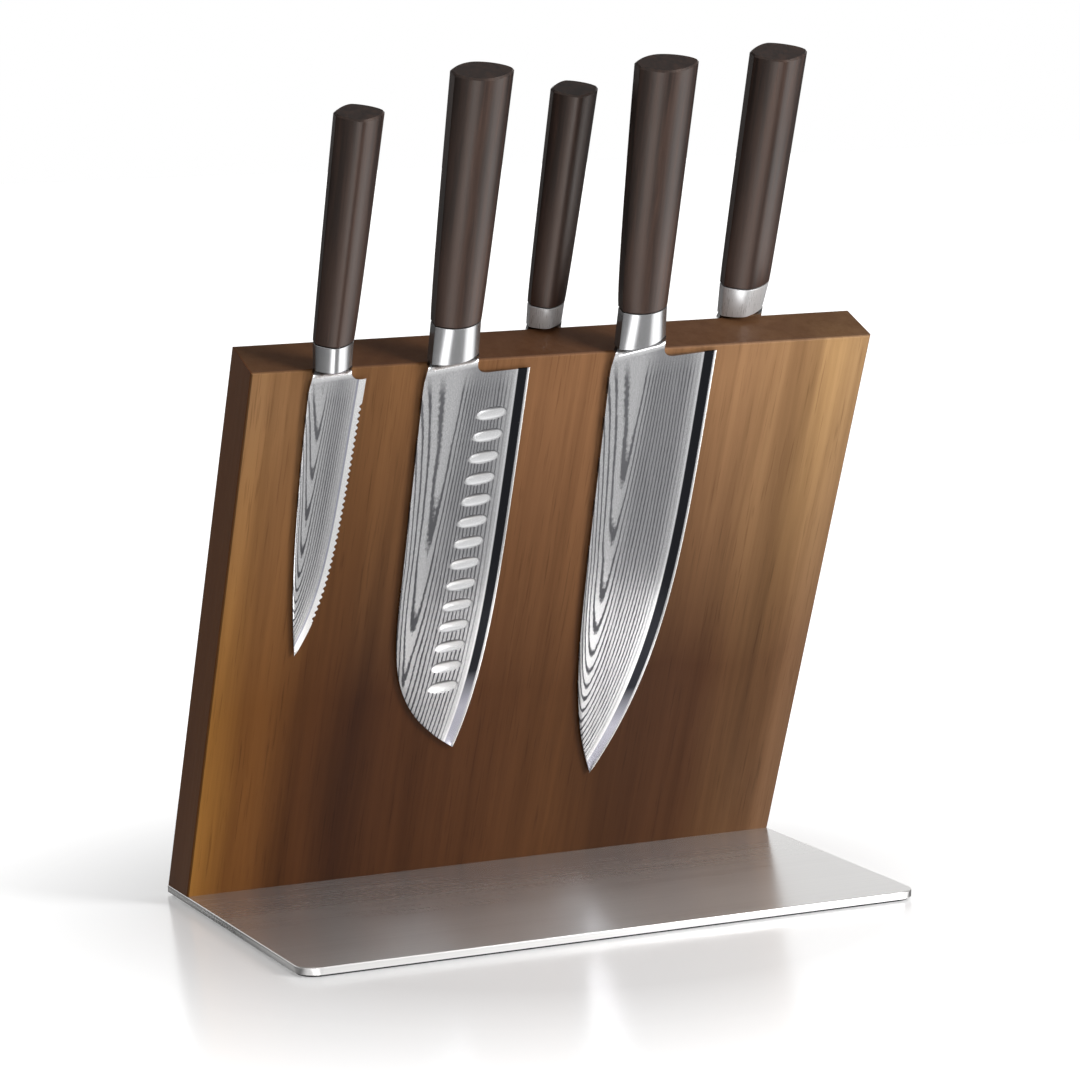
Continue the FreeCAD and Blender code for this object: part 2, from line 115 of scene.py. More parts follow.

# Each knife in its own frame: X from the spine line to the edge, Y into the board, Z up to the
# butt from the place where the spine meets the bolster. d runs from there towards the tip.
# "x", "up" and "tilt" place it on its face of the board. "spine_" and "edge_" give the two
# outlines of the blade, "bolster", "joint" and "butt" the left and right sides of the grip at
# its three levels, "thick" its thickness at the joint and the butt, "flat" its half thickness at
# the spine and "ridge" how full its cheeks are. "row" is the height of a row of quads. "band",
# "pitch", "crest", "fullness", "tip_loop" and "painted_shade" lay out the core band, whose dark
# colour is a painted reflection, the layer lines and the painted shade on the flank.
KNIVES = {
    "utility": {
        "face": "front", "x": -112.2, "up": 247.8, "tilt": 1.5,
        "length": 132.5, "heel": 6.2, "spine_t": 1.9,
        "spine_from": 3.0, "spine_drop": 5.8, "spine_pow": 3.2,
        "edge_w": 24.2, "edge_taper": 0.0575, "edge_from": 17.0, "edge_pow": 5.0, "bevel": 3.0,
        "bolster": (1.6, 17.2), "slant": 0.7, "joint_z": 11.4, "joint": (0.4, 16.8),
        "butt_z": 108.6, "butt": (-0.8, 19.2), "thick": (12.2, 15.7), "flat": 1.5, "ridge": 1.45,
        "row": 0.3, "band": 0.0, "pitch": 1.0, "crest": (6.4, 0.026), "fullness": (0.8, 15.0, 60.0),
        "tip_loop": 48.5, "painted_shade": 0.52,
    },
    "santoku": {
        "face": "front", "x": -64.1, "up": 248.0, "tilt": 2.2,
        "length": 186.5, "heel": 7.0, "spine_t": 2.1,
        "spine_from": 99.0, "spine_drop": 31.2, "spine_pow": 4.0,
        "edge_w": 45.6, "edge_taper": 0.0177, "edge_from": 0.0, "edge_pow": 5.0, "bevel": 1.2,
        "bolster": (1.7, 22.4), "slant": 2.0, "joint_z": 16.7, "joint": (1.5, 21.8),
        "butt_z": 123.9, "butt": (-1.6, 23.5), "thick": (12.6, 17.0), "flat": 2.5, "ridge": 1.8,
        "row": 0.5, "band": 4.0, "pitch": 1.85, "crest": (16.2, 0.0737), "fullness": (9.6, 0.0, 138.0),
        "tip_loop": 124.4, "painted_shade": 0.62,
    },
    "chef": {
        "face": "front", "x": 16.5, "up": 249.4, "tilt": 3.3,
        "length": 209.0, "heel": 6.8, "spine_t": 2.2,
        "spine_from": 46.0, "spine_drop": 12.6, "spine_pow": 5.0,
        "edge_w": 47.5, "edge_taper": 0.033, "edge_from": 0.0, "edge_pow": 4.1, "bevel": 1.2,
        "bolster": (2.0, 23.2), "slant": 3.0, "joint_z": 16.7, "joint": (2.0, 22.2),
        "butt_z": 123.6, "butt": (-3.2, 22.9), "thick": (12.4, 16.6), "flat": 2.5, "ridge": 1.8,
        "row": 0.8, "band": 4.4, "pitch": 1.62, "crest": (15.2, 0.056), "fullness": (4.5, 0.0, 100.0),
        "tip_loop": 91.6, "painted_shade": 0.66,
    },
    "paring": {
        "face": "rear", "x": -10.9, "up": 247.9, "tilt": 1.9,
        "length": 92.0, "heel": 5.5, "spine_t": 1.7,
        "spine_from": 20.0, "spine_drop": 6.5, "spine_pow": 2.4,
        "edge_w": 21.0, "edge_taper": 0.045, "edge_from": 10.0, "edge_pow": 3.6, "bevel": 1.0,
        "bolster": (1.2, 16.0), "slant": 0.6, "joint_z": 9.5, "joint": (0.6, 16.2),
        "butt_z": 103.8, "butt": (-1.1, 18.4), "thick": (11.4, 15.6), "flat": 1.5, "ridge": 1.45,
        "row": 0.8, "band": 2.2, "pitch": 1.1, "crest": (6.0, 0.04), "fullness": (0.8, 15.0, 45.0),
        "tip_loop": 38.0, "painted_shade": 0.7,
    },
    "bread": {
        "face": "rear", "x": 74.2, "up": 247.9, "tilt": 2.5,
        "length": 208.0, "heel": 7.0, "spine_t": 2.1,
        "spine_from": 90.0, "spine_drop": 13.0, "spine_pow": 2.6,
        "edge_w": 35.0, "edge_taper": 0.012, "edge_from": 90.0, "edge_pow": 3.6, "bevel": 3.0,
        "bolster": (2.6, 22.0), "slant": 1.6, "joint_z": 13.3, "joint": (1.9, 23.4),
        "butt_z": 116.6, "butt": (0.4, 24.8), "thick": (14.0, 18.4), "flat": 2.0, "ridge": 1.5,
        "row": 0.5, "band": 0.0, "pitch": 1.4, "crest": (11.0, 0.03), "fullness": (1.6, 40.0, 110.0),
        "tip_loop": 110.0, "painted_shade": 0.7,
    },
}

# Scalloped edges: first and last distance from the bolster, pitch and depth.
SCALLOPS = {
    "utility": (17.0, 117.0, 2.76, 1.0),
    "bread": (12.0, 198.0, 6.0, 1.5),
}

# Hollows in the santoku's faces: how many, first and last centre, half sizes, depth and turn.
HOLLOWS = 14
HOLLOW_FIRST = (30.7, 26.0)
HOLLOW_LAST = (23.4, 155.0)
HOLLOW_HALF_LONG = 6.9
HOLLOW_HALF_WIDE = 2.9
HOLLOW_DEEP = 0.55
HOLLOW_TURN = math.radians(4.0)

# Light: what matt surfaces get from all round, what the floor adds for the eye close by and far
# off, the metres between which that rises, half the floor's side, the level between the softboxes
# and in second mirror images, and each softbox as bearing, inner and outer half angle and level.
AMBIENT = 0.26
FLOOR_GLOW = 0.20
FLOOR_GLOW_FAR = 0.62
GLOW_FROM = 0.15
GLOW_TO = 0.29
FLOOR_HALF = 6.0
DIM_GAP = 0.12
SECOND_IMAGE = 0.45
SOFTBOXES = (
    (-20.0, 6.0, 20.0, 4.9),
    (80.0, 6.0, 18.0, 3.6),
    (-170.0, 8.0, 24.0, 1.5),
    (168.0, 4.0, 12.0, 1.0),
)


# ---------------------------------------------------------------- node trees

def add(tree, kind, inputs=None, **settings):
    """A new node. An input that is a socket is linked, and any other is a value."""
    node = tree.nodes.new(kind)
    for name, value in settings.items():
        setattr(node, name, value)
    for key, value in (inputs or {}).items():
        if isinstance(value, bpy.types.NodeSocket):
            tree.links.new(value, node.inputs[key])
        else:
            node.inputs[key].default_value = value
    return node


def calc(tree, operation, a, b=0.0, c=0.0, clamp=False):
    node = add(tree, "ShaderNodeMath", {0: a, 1: b, 2: c}, operation=operation)
    node.use_clamp = clamp
    return node.outputs[0]


def remap(tree, value, low, high, to_low=0.0, to_high=1.0):
    """Straight-line remap that is held at both ends."""
    node = add(tree, "ShaderNodeMapRange", {0: value, 1: low, 2: high, 3: to_low, 4: to_high})
    return node.outputs[0]


def ramp(tree, value, stops):
    """Colour ramp of (position, colour) stops."""
    node = add(tree, "ShaderNodeValToRGB", {0: value})
    points = node.color_ramp.elements
    points[0].position = stops[0][0]
    points[1].position = stops[-1][0]
    for position, _ in stops[1:-1]:
        points.new(position)
    for point, (position, colour) in zip(points, stops):
        point.position = position
        point.color = (*colour, 1.0)
    return node.outputs[0]


def noise(tree, vector, scale, detail=4.0, roughness=0.55, distortion=0.0):
    node = add(tree, "ShaderNodeTexNoise", {
        "Vector": vector, "Scale": scale, "Detail": detail,
        "Roughness": roughness, "Distortion": distortion})
    return node.outputs[0]


def stretch(tree, vector, scale, turn=(0.0, 0.0, 0.0)):
    """Turns a place and stretches it, so that a pattern on it is drawn out."""
    node = add(tree, "ShaderNodeMapping", {"Vector": vector, "Rotation": turn, "Scale": scale})
    return node.outputs[0]


def blend(tree, factor, a, b, mode="MIX"):
    """Colour a where the factor is nought, and b, or a times b, where it is one."""
    node = add(tree, "ShaderNodeMix", data_type="RGBA", blend_type=mode, clamp_factor=True)
    for socket, value in ((node.inputs[0], factor), (node.inputs[6], a), (node.inputs[7], b)):
        if isinstance(value, bpy.types.NodeSocket):
            tree.links.new(value, socket)
        elif socket.type == "RGBA":
            socket.default_value = (*value, 1.0)
        else:
            socket.default_value = value
    return node.outputs[2]


def finish_named(name, metallic=0.0):
    """A material with one shader, its tree and the shader."""
    material = bpy.data.materials.new(name)
    material.use_nodes = True
    shader = material.node_tree.nodes["Principled BSDF"]
    shader.inputs["Metallic"].default_value = metallic
    return material, material.node_tree, shader


def connect(tree, shader, colour, roughness, height=None, strength=0.2, distance=0.0002):
    """Links a finish to its shader, with a fine relief where a height is given."""
    tree.links.new(colour, shader.inputs["Base Color"])
    tree.links.new(roughness, shader.inputs["Roughness"])
    if height is not None:
        bump = add(tree, "ShaderNodeBump", {
            "Height": height, "Strength": strength, "Distance": distance})
        tree.links.new(bump.outputs[0], shader.inputs["Normal"])


def own_vector(tree, name):
    """A vector that is kept on the mesh under this name."""
    return add(tree, "ShaderNodeAttribute", attribute_name=name).outputs["Vector"]


def object_place(tree):
    return add(tree, "ShaderNodeTexCoord").outputs["Object"]


def parts_of(tree, vector):
    """The three numbers of a vector."""
    return add(tree, "ShaderNodeSeparateXYZ", {0: vector}).outputs


def srgb(red, green, blue):
    """Linear colour from eight-bit display values."""
    def one(value):
        value /= 255.0
        return value / 12.92 if value <= 0.04045 else ((value + 0.055) / 1.055) ** 2.4
    return (one(red), one(green), one(blue))


# ---------------------------------------------------------------- materials

def board_wood():
    """Oiled acacia: upright grain, golden at one side, with streaks and pores. Painted light
    makes it lighter up the face and towards the upper right, and painted shade makes the top and
    the two ends darker. Lengths are in metres here."""
    material, tree, shader = finish_named("board_wood")
    shader.inputs["Specular IOR Level"].default_value = 0.11
    half_w = BOARD_W / 2 * MM
    foot_up = BASE_H * math.cos(LEAN) - BOARD_FOOT_Y * math.sin(LEAN)
    top_up = (BOARD_H + foot_up) * MM
    upright = stretch(tree, object_place(tree), (1.0, 1.0, 1.0), (-LEAN, 0.0, 0.0))
    split = parts_of(tree, upright)
    sway = noise(tree, stretch(tree, upright, (11.0, 11.0, 4.0)), 1.0, 2.0)
    across = calc(tree, "MULTIPLY_ADD", sway, 0.03, calc(tree, "SUBTRACT", split[0], 0.015))
    share = remap(tree, across, -half_w, half_w)
    low = ramp(tree, share, [
        (0.0, srgb(170, 118, 54)), (0.06, srgb(120, 76, 34)), (0.18, srgb(94, 56, 28)),
        (0.245, srgb(64, 36, 20)), (0.32, srgb(86, 51, 27)), (0.46, srgb(88, 53, 28)),
        (0.60, srgb(100, 63, 34)), (0.72, srgb(78, 47, 26)), (0.83, srgb(82, 50, 28)),
        (0.90, srgb(106, 73, 46)), (0.94, srgb(128, 92, 62)), (1.0, srgb(134, 100, 74))])
    high = ramp(tree, share, [
        (0.0, srgb(156, 116, 78)), (0.06, srgb(142, 103, 68)), (0.2, srgb(142, 100, 63)),
        (0.46, srgb(138, 97, 65)), (0.62, srgb(148, 106, 72)), (0.79, srgb(164, 124, 88)),
        (0.87, srgb(178, 138, 97)), (0.92, srgb(192, 152, 105)), (1.0, srgb(174, 138, 99))])
    # Painted light: the colour rises from the darker low ramp to the lighter high one up the face, and
    # both are lightest towards the right. The golden strip at the left and the changes between staves
    # are the wood's own.
    rise = remap(tree, calc(tree, "MULTIPLY_ADD", sway, 0.06, split[2]), 0.105, 0.240)
    tone = blend(tree, rise, low, high)
    figure = noise(tree, stretch(tree, upright, (26.0, 26.0, 1.9)), 1.0, 3.0, 0.5, 0.9)
    bands = ramp(tree, figure, [(0.30, (0.58, 0.54, 0.50)), (0.46, (0.86, 0.85, 0.83)),
                                (0.66, (1.0, 1.0, 0.98))])
    shaded = blend(tree, 1.0, tone, bands, "MULTIPLY")
    streaks = noise(tree, stretch(tree, upright, (170.0, 170.0, 4.5)), 1.0, 5.0, 0.62, 0.3)
    fine = ramp(tree, streaks, [(0.38, (1.0, 1.0, 1.0)), (0.72, (0.62, 0.58, 0.54))])
    streaked = blend(tree, 0.8, shaded, fine, "MULTIPLY")
    pores = noise(tree, stretch(tree, upright, (1100.0, 1100.0, 40.0)), 1.0, 2.0, 0.6)
    pitted = ramp(tree, pores, [(0.58, (1.0, 1.0, 1.0)), (0.74, (0.55, 0.50, 0.46))])
    pored = blend(tree, 0.6, streaked, pitted, "MULTIPLY")
    from_middle = calc(tree, "ABSOLUTE", split[0])
    # Painted shade: the top and the two ends are blended towards darker browns.
    end_shade = remap(tree, from_middle, half_w - 0.0009, half_w - 0.0002, 0.0, 0.86)
    top_shade = remap(tree, split[2], top_up - 0.0007, top_up - 0.0001, 0.0, 0.78)
    top_and_ends_shaded = blend(tree, top_shade, pored, srgb(72, 44, 27))
    top_and_ends_shaded = blend(tree, end_shade, top_and_ends_shaded, srgb(92, 52, 24))
    rough = remap(tree, streaks, 0.3, 0.7, 0.36, 0.48)
    connect(tree, shader, top_and_ends_shaded, rough, calc(tree, "ADD", pores, streaks), 0.08)
    return material


def handle_wood():
    """Very dark, dense wood with fine lengthwise grain and a satin polish."""
    material, tree, shader = finish_named("handle_wood")
    shader.inputs["Specular IOR Level"].default_value = 0.41
    shader.inputs["Specular Tint"].default_value = (1.0, 0.86, 0.79, 1.0)
    own = own_vector(tree, "own")
    grain = noise(tree, stretch(tree, own, (0.55, 0.55, 0.016)), 1.0, 7.0, 0.62, 0.5)
    broad = noise(tree, stretch(tree, own, (0.16, 0.16, 0.012)), 1.0, 3.0)
    colour = ramp(tree, grain, [
        (0.30, srgb(20, 13, 11)), (0.48, srgb(34, 23, 19)), (0.62, srgb(48, 33, 27)),
        (0.75, srgb(70, 48, 39))])
    tinted = blend(tree, remap(tree, broad, 0.45, 0.75, 0.0, 0.5), colour, srgb(72, 49, 38))
    pores = noise(tree, stretch(tree, own, (2.6, 2.6, 0.09)), 1.0, 2.0)
    pored = blend(tree, remap(tree, pores, 0.60, 0.74, 0.0, 0.5), tinted, srgb(18, 12, 10))
    rough = remap(tree, grain, 0.3, 0.7, 0.33, 0.42)
    connect(tree, shader, pored, rough, calc(tree, "ADD", grain, pores), 0.08)
    return material


def layer_lines(tree, knife, own, level):
    """Strength of the dark lines that the stack of layers shows, uneven and a little wavy."""
    sway = noise(tree, stretch(tree, own, (0.07, 0.0, 0.016)), 1.0, 2.0)
    ripple = noise(tree, stretch(tree, own, (0.8, 0.0, 0.55)), 1.0, 2.0)
    level = calc(tree, "MULTIPLY_ADD", calc(tree, "SUBTRACT", sway, 0.5), knife["pitch"], level)
    level = calc(tree, "MULTIPLY_ADD", calc(tree, "SUBTRACT", ripple, 0.5),
                 0.34 * knife["pitch"], level)
    wave = calc(tree, "COSINE", calc(tree, "MULTIPLY", level, 2 * math.pi / knife["pitch"]))
    uneven = noise(tree, stretch(tree, own, (0.30, 0.0, 0.03)), 1.0, 2.0)
    return remap(tree, calc(tree, "ADD", wave, uneven), 0.55, 1.35)


def oval_shading(tree, depth, across):
    """Inside of the ovals: a painted highlight over most of each, and painted shade on the upper rim.
    """
    oval_light_and_shade = ramp(tree, calc(tree, "MULTIPLY_ADD", across, 0.5, 0.5), [
        (0.03, (0.13, 0.13, 0.14)), (0.15, (0.30, 0.30, 0.31)), (0.27, (0.90, 0.90, 0.91)),
        (0.85, (0.97, 0.97, 0.98)), (0.98, (0.60, 0.60, 0.61))])
    # Painted shade near the rim, most on the upper side.
    rim = calc(tree, "MULTIPLY", remap(tree, depth, 0.08, 0.30, 0.9, 0.0),
               remap(tree, across, -0.2, 0.6, 1.0, 0.2))
    return blend(tree, rim, oval_light_and_shade, (0.10, 0.10, 0.11))


def thin_line(tree, from_edge, middle, inner, outer):
    """A thin line that follows the edge at a distance."""
    off = calc(tree, "ABSOLUTE", calc(tree, "SUBTRACT", from_edge, middle))
    return remap(tree, off, inner, outer, 0.7, 0.0)


def layered_steel(name, knife):
    """Folded steel: wavy layer lines that follow the edge and close in long loops below the
    spine, painted shade on the flank, a core band whose near-black colour and lighter tip are
    painted reflections, a thin bright line, a bright ground edge with a painted highlight along
    its very edge, painted highlight and shade in the ovals, and a painted highlight band with a
    dark seam below the bolster."""
    material, tree, shader = finish_named(name, metallic=1.0)
    own = own_vector(tree, "own")
    from_edge, level, shade = parts_of(tree, own_vector(tree, "field"))
    depth, across, _ = parts_of(tree, own_vector(tree, "hollow"))
    place = parts_of(tree, own)
    along = calc(tree, "MULTIPLY", place[2], -1.0)
    from_left = calc(tree, "SUBTRACT", place[0], knife["bolster"][0])
    below = calc(tree, "MULTIPLY_ADD", from_left, bolster_slope(knife), along)
    band_end = knife["bevel"] + knife["band"]

    calm = remap(tree, along, knife["heel"] - 1.0, knife["heel"] + 8.0)
    near_band = remap(tree, from_edge, band_end + 0.3, band_end + 5.0)
    lined = remap(tree, along, 0.25 * knife["length"], 0.75 * knife["length"], 0.90, 1.0)
    hollow = remap(tree, depth, 0.0, 0.07)
    smooth = calc(tree, "SUBTRACT", 1.0, hollow, clamp=True)
    strength = layer_lines(tree, knife, own, level)
    for share in (calm, near_band, smooth, lined):
        strength = calc(tree, "MULTIPLY", strength, share)

    mottle = noise(tree, stretch(tree, own, (1.6, 0.0, 0.8)), 1.0, 4.0, 0.7)
    light = ramp(tree, mottle, [(0.35, (0.59, 0.59, 0.60)), (0.65, (0.71, 0.71, 0.72))])
    # Painted shade: the flank is darkened where the shade field says, most past the crest and up high.
    flank_light_and_shade = blend(tree, calc(tree, "MULTIPLY", shade, smooth), light, (0.24, 0.24, 0.255))
    # Painted highlight: a bright band on the shoulder just below the bolster.
    near_bolster = remap(tree, below, 4.2, 6.2, 1.0, 0.0)
    flank_light_and_shade = blend(tree, near_bolster, flank_light_and_shade, (0.98, 0.98, 0.99))
    flank_light_and_shade = blend(tree, hollow, flank_light_and_shade, oval_shading(tree, depth, across))
    layered = blend(tree, strength, flank_light_and_shade, (0.088, 0.088, 0.096))

    if knife["band"]:
        # The core band is real. Its near-black colour, lightening to lilac grey near the tip, is a
        # painted reflection.
        fade = remap(tree, along, 0.80 * knife["length"], 0.89 * knife["length"])
        core = ramp(tree, fade, [(0.0, (0.020, 0.021, 0.025)), (1.0, (0.40, 0.40, 0.46))])
        in_band = remap(tree, from_edge, band_end - 0.15, band_end + 0.15, 1.0, 0.0)
        layered = blend(tree, in_band, layered, core)
        line = thin_line(tree, from_edge, band_end + 0.5, 0.25, 0.6)
        layered = blend(tree, line, layered, (0.85, 0.85, 0.87))
        ground_tone = (0.44, 0.44, 0.45)
    else:
        line = thin_line(tree, from_edge, band_end + 0.5, 0.2, 0.6)
        layered = blend(tree, line, layered, (0.36, 0.37, 0.47))
        ground_tone = (0.98, 0.98, 0.98)
    in_bevel = remap(tree, from_edge, knife["bevel"] - 0.08, knife["bevel"] + 0.08, 1.0, 0.0)
    ground = blend(tree, in_bevel, layered, ground_tone)
    # Painted highlight: a thin bright line along the very edge.
    at_edge = remap(tree, from_edge, 0.2, 0.35, 1.0, 0.0)
    edge_highlighted = blend(tree, at_edge, ground, (0.95, 0.92, 0.88))
    seam = remap(tree, below, 1.5, 2.2, 0.92, 0.0)
    edge_highlighted = blend(tree, seam, edge_highlighted, (0.03, 0.03, 0.03))

    rough = remap(tree, strength, 0.0, 1.0, 0.22, 0.38)
    etched = calc(tree, "MULTIPLY", strength, remap(tree, from_edge, band_end, band_end + 0.5))
    connect(tree, shader, edge_highlighted, rough, etched, -0.10, 0.0001)
    return material


def satin_steel(name, level, low, high, fine, metallic):
    """Polished steel with very fine marks along one axis of the piece."""
    material, tree, shader = finish_named(name, metallic=metallic)
    marks = noise(tree, stretch(tree, own_vector(tree, "own"), fine), 1.0, 4.0, 0.6)
    colour = ramp(tree, marks, [(0.3, (level - 0.02,) * 3), (0.7, (level, level, level + 0.01))])
    connect(tree, shader, colour, remap(tree, marks, 0.3, 0.7, low, high), marks, 0.004, 0.0001)
    return material


def object_steel(name, level, low, high, scale, strength=0.05):
    """Steel, brass or plating with fine marks, drawn out along the axis with the least scale."""
    material, tree, shader = finish_named(name, metallic=1.0)
    place = object_place(tree)
    marks = noise(tree, stretch(tree, place, scale), 1.0, 5.0, 0.65)
    cloud = noise(tree, place, 9.0, 3.0)
    dark = tuple(0.9 * part for part in level)
    colour = ramp(tree, marks, [(0.3, dark), (0.7, level)])
    rough = calc(tree, "MULTIPLY_ADD", cloud, 0.05, remap(tree, marks, 0.3, 0.7, low, high))
    connect(tree, shader, colour, rough, marks, strength, 0.0001)
    return material


def brushed_plate():
    """Stainless plate brushed from end to end, so that what it mirrors is drawn out front to
    back, and a little rougher towards the front."""
    material, tree, shader = finish_named("base_steel", metallic=0.93)
    shader.inputs["Anisotropic"].default_value = 0.80
    place = object_place(tree)
    lines = noise(tree, stretch(tree, place, (5.0, 1400.0, 1400.0)), 1.0, 4.0, 0.6)
    cloud = noise(tree, place, 12.0, 3.0)
    colour = ramp(tree, lines, [(0.3, (0.73, 0.72, 0.71)), (0.7, (0.79, 0.78, 0.77))])
    worn = remap(tree, parts_of(tree, place)[1], -BASE_D / 2 * MM, 0.05, 0.065, 0.0)
    rough = calc(tree, "ADD", worn, remap(tree, lines, 0.3, 0.7, 0.22, 0.25))
    rough = calc(tree, "MULTIPLY_ADD", cloud, 0.04, rough)
    connect(tree, shader, colour, rough, lines, 0.015, 0.0001)
    tangent = add(tree, "ShaderNodeTangent", direction_type="RADIAL", axis="X").outputs[0]
    tree.links.new(tangent, shader.inputs["Tangent"])
    return material


def pad_rubber():
    """Black rubber with a fine pebbled face."""
    material, tree, shader = finish_named("pad_rubber")
    cells = add(tree, "ShaderNodeTexVoronoi", {
        "Vector": object_place(tree), "Scale": 650.0}).outputs[0]
    colour = ramp(tree, cells, [(0.0, (0.030, 0.030, 0.031)), (0.8, (0.014, 0.014, 0.015))])
    connect(tree, shader, colour, remap(tree, cells, 0.0, 0.8, 0.62, 0.8), cells, 0.3)
    return material


# ---------------------------------------------------------------- places

def board_place():
    """The board's own frame: X across, Y into the board, Z up its face, in millimetres."""
    foot = Matrix.Translation((0.0, BOARD_FOOT_Y, BASE_H))
    return foot @ Matrix.Rotation(LEAN, 4, "X")


def knife_place(knife):
    """From the knife's frame in millimetres to the object's in metres."""
    stand_off = BLADE_GAP + knife["spine_t"] / 2
    y = -stand_off if knife["face"] == "front" else BOARD_T + stand_off
    on_board = Matrix.Translation((knife["x"], y, knife["up"]))
    tilt = Matrix.Rotation(-math.radians(knife["tilt"]), 4, "Y")
    return Matrix.Scale(MM, 4) @ board_place() @ on_board @ tilt


def put_in_place(piece, knife):
    """Moves the mesh from the knife's frame to the object's, and leaves the object unmoved."""
    piece.data.transform(knife_place(knife))
    piece.data.update()


def tidy_mesh(mesh, sharp_deg):
    """Joins doubles, turns the faces outwards and keeps only real edges sharp."""
    work = bmesh.new()
    work.from_mesh(mesh)
    bmesh.ops.remove_doubles(work, verts=work.verts, dist=1e-5)
    bmesh.ops.dissolve_degenerate(work, edges=work.edges, dist=1e-6)
    bmesh.ops.recalc_face_normals(work, faces=work.faces)
    work.to_mesh(mesh)
    work.free()
    mesh.shade_smooth()
    mesh.set_sharp_from_angle(angle=math.radians(sharp_deg))


def link_piece(name, mesh):
    piece = bpy.data.objects.new(name, mesh)
    bpy.context.scene.collection.objects.link(piece)
    return piece


# ---------------------------------------------------------------- blades

def bolster_slope(knife):
    """How steeply the bolster's lower end runs up towards the edge side."""
    left, right = knife["bolster"]
    return knife["slant"] / (right - left)


def spine_x(knife, d):
    """The spine's outline, with its short lead into the bolster."""
    lead = knife["bolster"][0] * np.clip(1.0 - d / LEAD_RUN, 0.0, 1.0) ** 2
    t = np.clip((d - knife["spine_from"]) / (knife["length"] - knife["spine_from"]), 0.0, 1.0)
    return lead + knife["spine_drop"] * t ** knife["spine_pow"]


def edge_x(knife, d):
    """The edge's outline without scallops: a straight taper that curves in to the tip."""
    t = np.clip((d - knife["edge_from"]) / (knife["length"] - knife["edge_from"]), 0.0, 1.0)
    at_tip = knife["edge_w"] - knife["edge_taper"] * knife["length"]
    curve = (at_tip - knife["spine_drop"]) * t ** knife["edge_pow"]
    return knife["edge_w"] - knife["edge_taper"] * d - curve


def scallop_bite(name, d):
    """How far the scallops cut into the edge at distance d."""
    if name not in SCALLOPS:
        return np.zeros_like(d)
    first, last, pitch, deep = SCALLOPS[name]
    share = np.mod((d - first) / pitch, 1.0)
    bite = deep * (0.5 - 0.5 * np.cos(2.0 * math.pi * share))
    return np.where((d > first) & (d < last), bite, 0.0)


def hollow_depth(x, d):
    """For the row of shallow ovals on the santoku's flank: the share of the full depth at a
    place, and how far down across its oval the place is, from -1 to 1."""
    depth = np.zeros_like(x)
    across = np.zeros_like(x)
    for i in range(HOLLOWS):
        t = i / (HOLLOWS - 1)
        cx = HOLLOW_FIRST[0] + (HOLLOW_LAST[0] - HOLLOW_FIRST[0]) * t
        cd = HOLLOW_FIRST[1] + (HOLLOW_LAST[1] - HOLLOW_FIRST[1]) * t
        u = (x - cx) * math.cos(HOLLOW_TURN) - (d - cd) * math.sin(HOLLOW_TURN)
        v = (x - cx) * math.sin(HOLLOW_TURN) + (d - cd) * math.cos(HOLLOW_TURN)
        inside = 1.0 - (u / HOLLOW_HALF_LONG) ** 2 - (v / HOLLOW_HALF_WIDE) ** 2
        across = np.where(inside > -0.2, v / HOLLOW_HALF_WIDE, across)
        depth = np.maximum(depth, np.clip(inside, 0.0, 1.0))
    return depth, across


def neck_right(knife, d):
    """The neck's right side, with the rounded choil at its foot."""
    rise = np.clip(d - (knife["heel"] - CHOIL_R), 0.0, CHOIL_R)
    return knife["bolster"][1] + CHOIL_R - np.sqrt(CHOIL_R ** 2 - rise ** 2)


def half_thickness(name, knife, x, d):
    """Half the blade's thickness: a flat grind, a fine bevel and the ramp at the bolster."""
    spine = spine_x(knife, d)
    edge = edge_x(knife, d)
    taper = 1.0 - TIP_THINNING * np.clip(d, 0.0, None) / knife["length"]
    bevel = np.minimum(knife["bevel"], BEVEL_MOST * (edge - spine))
    flank = np.clip((x - spine) / (edge - bevel - spine), 0.0, 1.0) ** GRIND_POWER
    half = (knife["spine_t"] / 2 * (1.0 - flank) + BEVEL_HALF_T * flank) * taper
    ground = np.clip((x - (edge - bevel)) / bevel, 0.0, 1.0)
    half = half * (1.0 - ground) + EDGE_HALF_T * ground
    eased = np.clip(1.0 - (x - spine) / SPINE_EASE_W, 0.0, 1.0)
    half = half - SPINE_EASE_DEEP * eased ** 2 * (d > knife["heel"])
    below = d + bolster_slope(knife) * (x - knife["bolster"][0])
    ramp_share = np.clip(1.0 - below / SHOULDER_H, 0.0, 1.0) ** SHOULDER_POWER
    full = SHOULDER_SHARE * knife["thick"][0]
    from_spine = np.clip((x - spine) / SHOULDER_INWARD, 0.0, 1.0)
    from_choil = np.clip((neck_right(knife, d) - x) / SHOULDER_INWARD, 0.0, 1.0)
    half = half + (full - half) * ramp_share * np.sqrt(from_spine * from_choil)
    if name == "santoku":
        half = half - hollow_depth(x, d)[0] * np.minimum(HOLLOW_DEEP, 0.8 * half)
    return half


def crest_x(knife, d):
    """The line on the flank along which the layer loops turn back."""
    start, run = knife["crest"]
    return start - run * d


def crest_level(knife, d):
    """Height in the stack of layers at the crest, most where the blade is fullest."""
    gain, full_at, gone_at = knife["fullness"]
    share = np.clip((gone_at - d) / (gone_at - full_at), 0.0, 1.0)
    return edge_x(knife, d) - crest_x(knife, d) + gain * share


